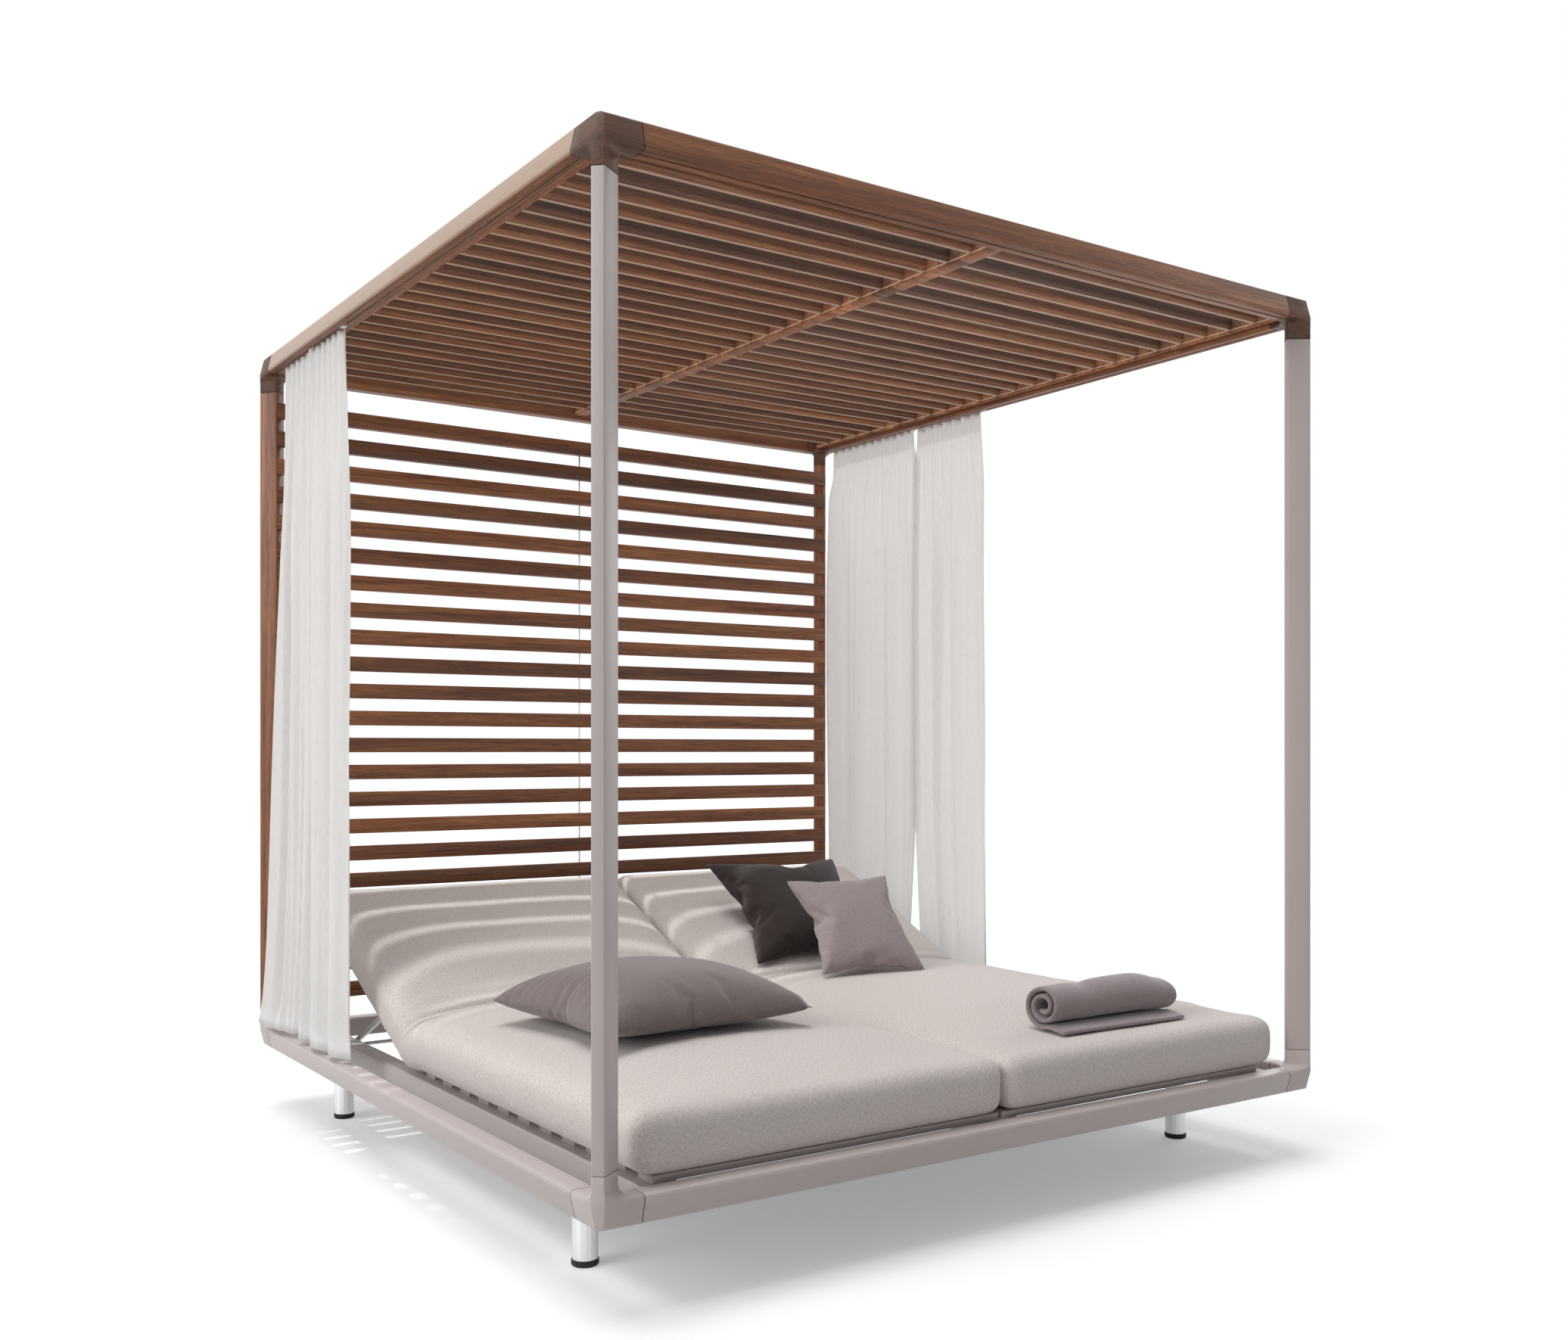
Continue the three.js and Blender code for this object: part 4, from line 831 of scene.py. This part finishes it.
def blow_up(thing, pressure, stiffness, bending, looser):
    """Runs the cloth, keeps its result as the mesh and takes the modifier off again."""
    cloth = thing.modifiers.new("stuffing", "CLOTH")
    settings = {"quality": 6, "mass": 0.3, "shear_stiffness": 12, "use_pressure": True,
                "tension_stiffness": stiffness, "compression_stiffness": stiffness,
                "bending_stiffness": bending, "shrink_min": -looser,
                "uniform_pressure_force": pressure}
    for key, value in settings.items():
        setattr(cloth.settings, key, value)
    cloth.settings.effector_weights.gravity = 0
    cloth.collision_settings.use_collision = False
    cloth.point_cache.frame_start = 1
    cloth.point_cache.frame_end = CLOTH_FRAMES
    scene = bpy.context.scene
    for number in range(1, CLOTH_FRAMES + 1):
        scene.frame_set(number)
    graph = bpy.context.evaluated_depsgraph_get()
    result = bpy.data.meshes.new_from_object(thing.evaluated_get(graph))
    thing.modifiers.clear()
    thing.data = result
    scene.frame_set(1)


def plain_swell(vert, width, length, above):
    """Where a point would be on an even pillow without any creases."""
    u, v = 2 * vert.co.x / width, 2 * vert.co.y / length
    fullness = max((1 - u ** 4) * (1 - v ** 4), 0.0) ** 0.55
    return Vector((vert.co.x * (1 - 0.06 * (1 - v * v)), vert.co.y * (1 - 0.06 * (1 - u * u)),
                   math.copysign(above * fullness, vert.co.z)))


def pillow(name, body, cloth, width, length, above, below, place, lean, turn, seed,
           stuffing, even):
    """A pillow with its middle at place, in millimetres, leaning and turned in degrees.

    Above and below are its thickness over and under the seam, and even is the share of
    the plain form that is mixed into the blown-up one.
    """
    thing = pillow_shape(name, width, length, seed)
    plain = [plain_swell(vert, width, length, above) for vert in thing.data.vertices]
    blow_up(thing, *stuffing)
    bm = bmesh.new()
    bm.from_mesh(thing.data)
    old = thing.data
    bpy.data.objects.remove(thing)
    bpy.data.meshes.remove(old)
    bm.verts.ensure_lookup_table()
    wide, long, tall = [max(abs(vert.co[axis]) for vert in bm.verts) for axis in range(3)]
    bmesh.ops.scale(bm, verts=bm.verts, vec=(width / 2 / wide, length / 2 / long, above / tall))
    for vert in bm.verts:
        vert.co = vert.co.lerp(plain[vert.index], even)
        u, v = 2 * vert.co.x / width, 2 * vert.co.y / length
        gather = smoothstep(0.45, 0.8, -u) * (1 - smoothstep(0.9, 1.0, -u)) * (1 - v ** 4)
        ripple = math.sin(26 * v + 3 * noise.noise(Vector((3 * u, 2 * v, seed))))
        vert.co.z += math.copysign(0.0035 * gather * ripple, vert.co.z)
        if vert.co.z < 0:
            vert.co.z *= below / above
    map_cloth(bm, (seed, seed))
    turned = Matrix.Translation(Vector(place) * MM)
    turned = turned @ Matrix.Rotation(math.radians(turn), 4, "Z")
    turned = turned @ Matrix.Rotation(math.radians(lean), 4, "X")
    bmesh.ops.transform(bm, matrix=turned, verts=bm.verts)
    finished = object_from(name + "_cover", bm, cloth)
    refine(finished)
    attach(finished, body)
    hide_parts(name)
    return finished


# Each stuffing: pressure, stiffness, bending and how much looser the cloth is.
FIRM = (20.0, 120, 1.0, 0.0)
SLACK = (6.0, 25, 0.15, 0.04)
pillow("pillow_lying", "frame", lying_cloth, 0.55, 0.52, 0.098, 0.042,
       (-515.1, -380, 430.8), 0, 2, 1.7, FIRM, 0.3)
pillow("pillow_dark", "dark_pillow", dark_cloth, 0.45, 0.45, 0.072, 0.0205,
       (390.3, 330.3, 530.4), 37, -7, 4.2, SLACK, 0.2)
pillow("pillow_pale", "pale_pillow", pale_cloth, 0.335, 0.35, 0.050, 0.045,
       (384.9, 35, 515.0), 46, -10, 6.9, SLACK, 0.1)

# %% [markdown]
# ## The rolled throw
#
# A knitted blanket is folded to a strip and rolled up, with its loose end lying forward.
# Its section is a spiral, so one line of points is drawn round it and pulled sideways
# to the blanket's width. One end of the roll lies flatter, a dent runs across it, and
# noise keeps the cloth from looking machined. A Solidify modifier gives the thick wool.

# %% Roll the throw
THROW_MIDDLE = Vector((0.4425, -0.86, 0.4195))
THROW_HALF = 0.41 / 2
THROW_THICKNESS = 0.0104
THROW_TURNS = 2.15
THROW_ENDS_AT = math.radians(-100)
CORE_RADIUS, ROLL_RADIUS = 0.010, 0.050
LOOSE_END, LOOSE_DROP = 0.062, 0.0085
ROLL_LOW, ROLL_TALL = 0.055, 0.11
THROW_ROUGH = 0.008
SPIRAL_STEPS, LOOSE_STEPS, THROW_COLUMNS = 72, 8, 26


def throw_line():
    """The spiral's points as (y, z) about the roll's middle, from its heart outwards."""
    points = []
    for step in range(SPIRAL_STEPS + 1):
        share = step / SPIRAL_STEPS
        angle = THROW_ENDS_AT + (1 - share) * THROW_TURNS * 2 * math.pi
        radius = CORE_RADIUS + (ROLL_RADIUS - CORE_RADIUS) * share ** 0.85
        points.append((radius * 1.08 * math.cos(angle), radius * 0.98 * math.sin(angle)))
    y, z = points[-1]
    for step in range(1, LOOSE_STEPS + 1):
        share = step / LOOSE_STEPS
        points.append((y - LOOSE_END * share, z - LOOSE_DROP * share ** 1.5 + 0.003))
    return points


def throw_roll():
    """The line is pulled sideways, column by column, and the roll is then made soft."""
    bm = bmesh.new()
    low_end = THROW_MIDDLE.x - THROW_HALF
    verts = [bm.verts.new((low_end, THROW_MIDDLE.y + y, THROW_MIDDLE.z + z))
             for y, z in throw_line()]
    edges = [bm.edges.new(pair) for pair in zip(verts, verts[1:])]
    for column in range(THROW_COLUMNS):
        pulled = bmesh.ops.extrude_edge_only(bm, edges=edges)
        fresh = [g for g in pulled["geom"] if isinstance(g, bmesh.types.BMVert)]
        edges = [g for g in pulled["geom"] if isinstance(g, bmesh.types.BMEdge)
                 and all(v in fresh for v in g.verts)]
        bmesh.ops.translate(bm, verts=fresh, vec=(2 * THROW_HALF / THROW_COLUMNS, 0, 0))
    # Pulling leaves edges and faces in an order that varies from run to run.
    order = Vector((100, 10, 1))
    bm.edges.sort(key=lambda edge: order.dot(edge.verts[0].co + edge.verts[1].co))
    bm.faces.sort(key=lambda face: order.dot(face.calc_center_median()))
    bmesh.ops.recalc_face_normals(bm, faces=bm.faces[:])
    map_cloth(bm)
    lying = THROW_MIDDLE.z - ROLL_LOW
    for vert in bm.verts:
        share = (vert.co.x - THROW_MIDDLE.x + THROW_HALF) / (2 * THROW_HALF)
        above = max(vert.co.z - lying, 0.0) / ROLL_TALL
        dent = (share - 0.30 - 0.9 * (vert.co.y - THROW_MIDDLE.y)) / 0.055
        flatter = 0.20 * smoothstep(0.72, 1.0, share) - 0.05 * smoothstep(0.25, 0.6, share)
        vert.co.z -= above * (ROLL_TALL * flatter + 0.006 * math.exp(-dent * dent))
        vert.co.x += 0.012 * math.sin(vert.co.y * 60) * above * smoothstep(0.8, 1.0, share)
        rough = noise.noise_vector(vert.co * 9)
        vert.co += Vector((0.8 * rough.x, 0.4 * rough.y, 0.3 * rough.z)) * THROW_ROUGH
    return bm


roll = object_from("throw_rolled", throw_roll(), throw_cloth)
thick = roll.modifiers.new("wool", "SOLIDIFY")
thick.thickness = THROW_THICKNESS
thick.offset = 0
refine(roll)
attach(roll, "frame")
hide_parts("throw_roll")

# %% [markdown]
# ## Curtains
#
# Thin white cloth is gathered on a heading tape, so it hangs in tight small pleats at the
# top that merge into fewer, wider folds below. The cloth itself comes first: a fine weave,
# a denser band at the heading tape and at the hem, where it is sewn back on itself, and
# a share of the light that passes through.

# %% Curtain cloth
CURTAIN_TOP = 2.067
CURTAIN_HEM = 0.235
CURTAIN_TALL = CURTAIN_TOP - CURTAIN_HEM
CURTAIN_X = 0.974
HEADING_TAPE = 60 * MM
HEM_TURN = 45 * MM


def curtain_cloth():
    material, tree, shader = new_material("woven_voile_white")
    cloth = add_node(tree, "ShaderNodeUVMap", {"uv_map": "cloth"})
    along = stretched(tree, cloth, (1, 1 / 12, 1))
    threads = noise_at(tree, along, 2 * MM, 2.0)
    tone = ramp_colours(tree, threads.outputs["Fac"], [(0.35, "#F0EFEE"), (0.65, "#F7F6F5")])
    bump = bump_of(tree, threads.outputs["Fac"], 0.15, 0.2 * MM)
    feed(tree, shader, {"Base Color": tone, "Normal": bump}, {
        "Roughness": 0.9, "Specular IOR Level": 0.15})
    passing = add_node(tree, "ShaderNodeBsdfTranslucent", None, {
        "Color": tone, "Normal": bump})
    split = add_node(tree, "ShaderNodeSeparateXYZ", None, {0: cloth})
    tape = maths(tree, "GREATER_THAN", split.outputs["Y"], CURTAIN_TALL - HEADING_TAPE)
    turned_up = maths(tree, "LESS_THAN", split.outputs["Y"], HEM_TURN)
    doubled = maths(tree, "ADD", tape, turned_up)
    passes = ranged(tree, doubled, 0.42, 0.2)
    mixed = add_node(tree, "ShaderNodeMixShader", None, {
        0: passes, 1: shader, 2: passing})
    between_threads = add_node(tree, "ShaderNodeBsdfTransparent")
    sheer = add_node(tree, "ShaderNodeMixShader", None, {
        1: mixed, 2: between_threads}, {0: 0.08})
    tree.links.new(sheer.outputs[0], tree.nodes["Material Output"].inputs["Surface"])
    return material


voile = curtain_cloth()
print("curtain cloth:", voile.name, "hangs", round(CURTAIN_TALL, 3), "m")

# %% [markdown]
# A panel starts as a flat grid that is pulled into shape, row by row. At the tape it has
# a small pleat every 45 mm. Lower down, those give way to a few rounded billows with a
# crease between each two, of uneven width, with smaller ridges over them. Towards the hem
# the panel spreads, because nothing gathers it there, and the left one passes outside the
# rear post. The right one's edge reaches the post between the two corner pieces.

# %% Make a curtain panel
PLEAT = 45 * MM
PLEAT_DEPTH, FOLD_DEPTH, RIDGE_DEPTH, FLARE = 0.0065, 0.025, 0.013, 0.010
PINCHED, FLICK, LAP = 0.016, 0.012, 0.006
FULLNESS = 1.6
ROWS, FOLD_COLUMNS = 80, 26
# The rear post and its corner pieces: where they start along the bed, and how far out
# the cloth has to be to pass the post.
CORNER_FRONT = 0.932
POST_FRONT = 0.977
POST_GAP = 0.018
PASSES_FROM, PASSES_BY = 0.802, 0.902
POST_OUTSIDE = 1.011


def billow(phase, folds):
    """From 0 in a crease to 1 on the round of a fold."""
    return math.sqrt(math.sin(math.pi * folds * phase) ** 2 + 0.03) - 0.17


def panel_edges(down, near, far, parts, outer, slit):
    """Where the front and the rear edge of a panel hang, at a share down its height."""
    pinched = PINCHED * (1 - smoothstep(0.0, 0.14, down))
    parted = 0.4 * (1 - smoothstep(0.02, 0.06, down)) + smoothstep(0.66, 1.0, down)
    apart = slit * parted - 0.009
    flick = FLICK * smoothstep(0.955, 1.0, down)
    front = near + (apart if parts == "rear" else pinched - flick - 0.010 * down)
    spread = outer * (0.45 * smoothstep(0.0, 0.3, down) + down ** 8)
    rear = far - (apart if parts == "front" else -spread - flick)
    return front, rear


def curtain_panel(name, side, near, far, folds, parts, outer, slit, seed):
    """Hangs a panel from near to far on the bed's side, which is -1 or 1.

    Parts names the half of the curtain. Outer is how far it spreads past the rear post,
    and slit is how far the two halves part.
    """
    bm = bmesh.new()
    bmesh.ops.create_grid(bm, x_segments=folds * FOLD_COLUMNS, y_segments=ROWS, size=0.5)
    layer = bm.loops.layers.uv.new("cloth")
    cut_width = (far - near) * FULLNESS
    for face in bm.faces:
        for loop in face.loops:
            place = loop.vert.co
            loop[layer].uv = ((place.x + 0.5) * cut_width, (place.y + 0.5) * CURTAIN_TALL)
    pleats = round((far - near) / PLEAT)
    for vert in bm.verts:
        share = vert.co.x + 0.5
        down = 0.5 - vert.co.y
        front, rear = panel_edges(down, near, far, parts, outer, slit)
        if not outer:
            # The right rear edge reaches the post between the corner pieces only.
            clear = smoothstep(0.04, 0.10, down) * (1 - smoothstep(0.86, 0.93, down))
            rear = min(rear, CORNER_FRONT + (POST_FRONT - POST_GAP - CORNER_FRONT) * clear)
        held = math.sin(math.pi * share)
        uneven = 0.07 * math.sin(2 * math.pi * 1.3 * share + 2 * seed)
        uneven += 0.03 * noise.noise(Vector((share * 2.4, down * 0.7, seed)))
        phase = share + uneven * held
        pinch = 1 - smoothstep(0.0, 0.26, down)
        grow = smoothstep(0.01, 0.30, down)
        depth = FOLD_DEPTH + 0.012 * down ** 3
        depth += 0.008 * noise.noise(Vector((share * 3, down * 0.8, seed + 5)))
        out = PLEAT_DEPTH * math.cos(2 * math.pi * pleats * share + seed) * pinch
        out += depth * (billow(phase, folds) - 0.45) * grow
        ridge = 0.25 - abs(noise.noise(Vector((share * 10, down * 1.3, seed + 2))))
        out += RIDGE_DEPTH * ridge * grow
        out += FLARE * down * down
        lapped = 1 - smoothstep(0.0, 0.25, share if parts == "rear" else 1 - share)
        out += LAP * lapped * (-1 if parts == "rear" else 1)
        y = front + (rear - front) * share
        if outer:
            passing = smoothstep(-0.1, 0.75, down) * smoothstep(PASSES_FROM, PASSES_BY, y)
            out += (max(out, POST_OUTSIDE - CURTAIN_X) - out) * passing
        vert.co = Vector((side * (CURTAIN_X + out), y, CURTAIN_TOP - down * CURTAIN_TALL))
    bmesh.ops.recalc_face_normals(bm, faces=bm.faces[:])
    cloth = object_from(name + "_cloth", bm, voile)
    thin = cloth.modifiers.new("cloth", "SOLIDIFY")
    thin.thickness = 0.8 * MM
    thin.offset = 0
    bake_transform(cloth)
    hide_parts(name)
    return cloth


print("a curtain's cloth is cut", FULLNESS, "times as wide as it hangs")

# %% [markdown]
# Each curtain is a rear panel, between the frame and the middle runner, and a front
# panel, between the middle and the lead runner.

# %% Hang the four panels
FRAME_REAR = 1.04
# Each side: its sign, the places of its ends and middle in front of the frame's rear,
# the folds of its two panels, its spread past the post and its slit.
CURTAINS = {
    "left": (-1, (0.200, 0.425, 0.690), (3, 2), 0.100, 0.0),
    "right": (1, (0.080, 0.565, 0.900), (3, 3), 0.0, 0.034),
}
for name, (side, places, folds, outer, slit) in CURTAINS.items():
    rear, middle, front = [FRAME_REAR - place for place in places]
    curtain_panel(f"curtain_{name}_rear", side, middle, rear, folds[0], "rear", outer, slit,
                  1.0 + side)
    curtain_panel(f"curtain_{name}_front", side, front, middle, folds[1], "front", 0.0, slit,
                  2.4 + side)

# %% [markdown]
# The last cell holds the picture settings.

# %% Picture settings
scene = bpy.context.scene
scene.view_settings.view_transform = "Standard"
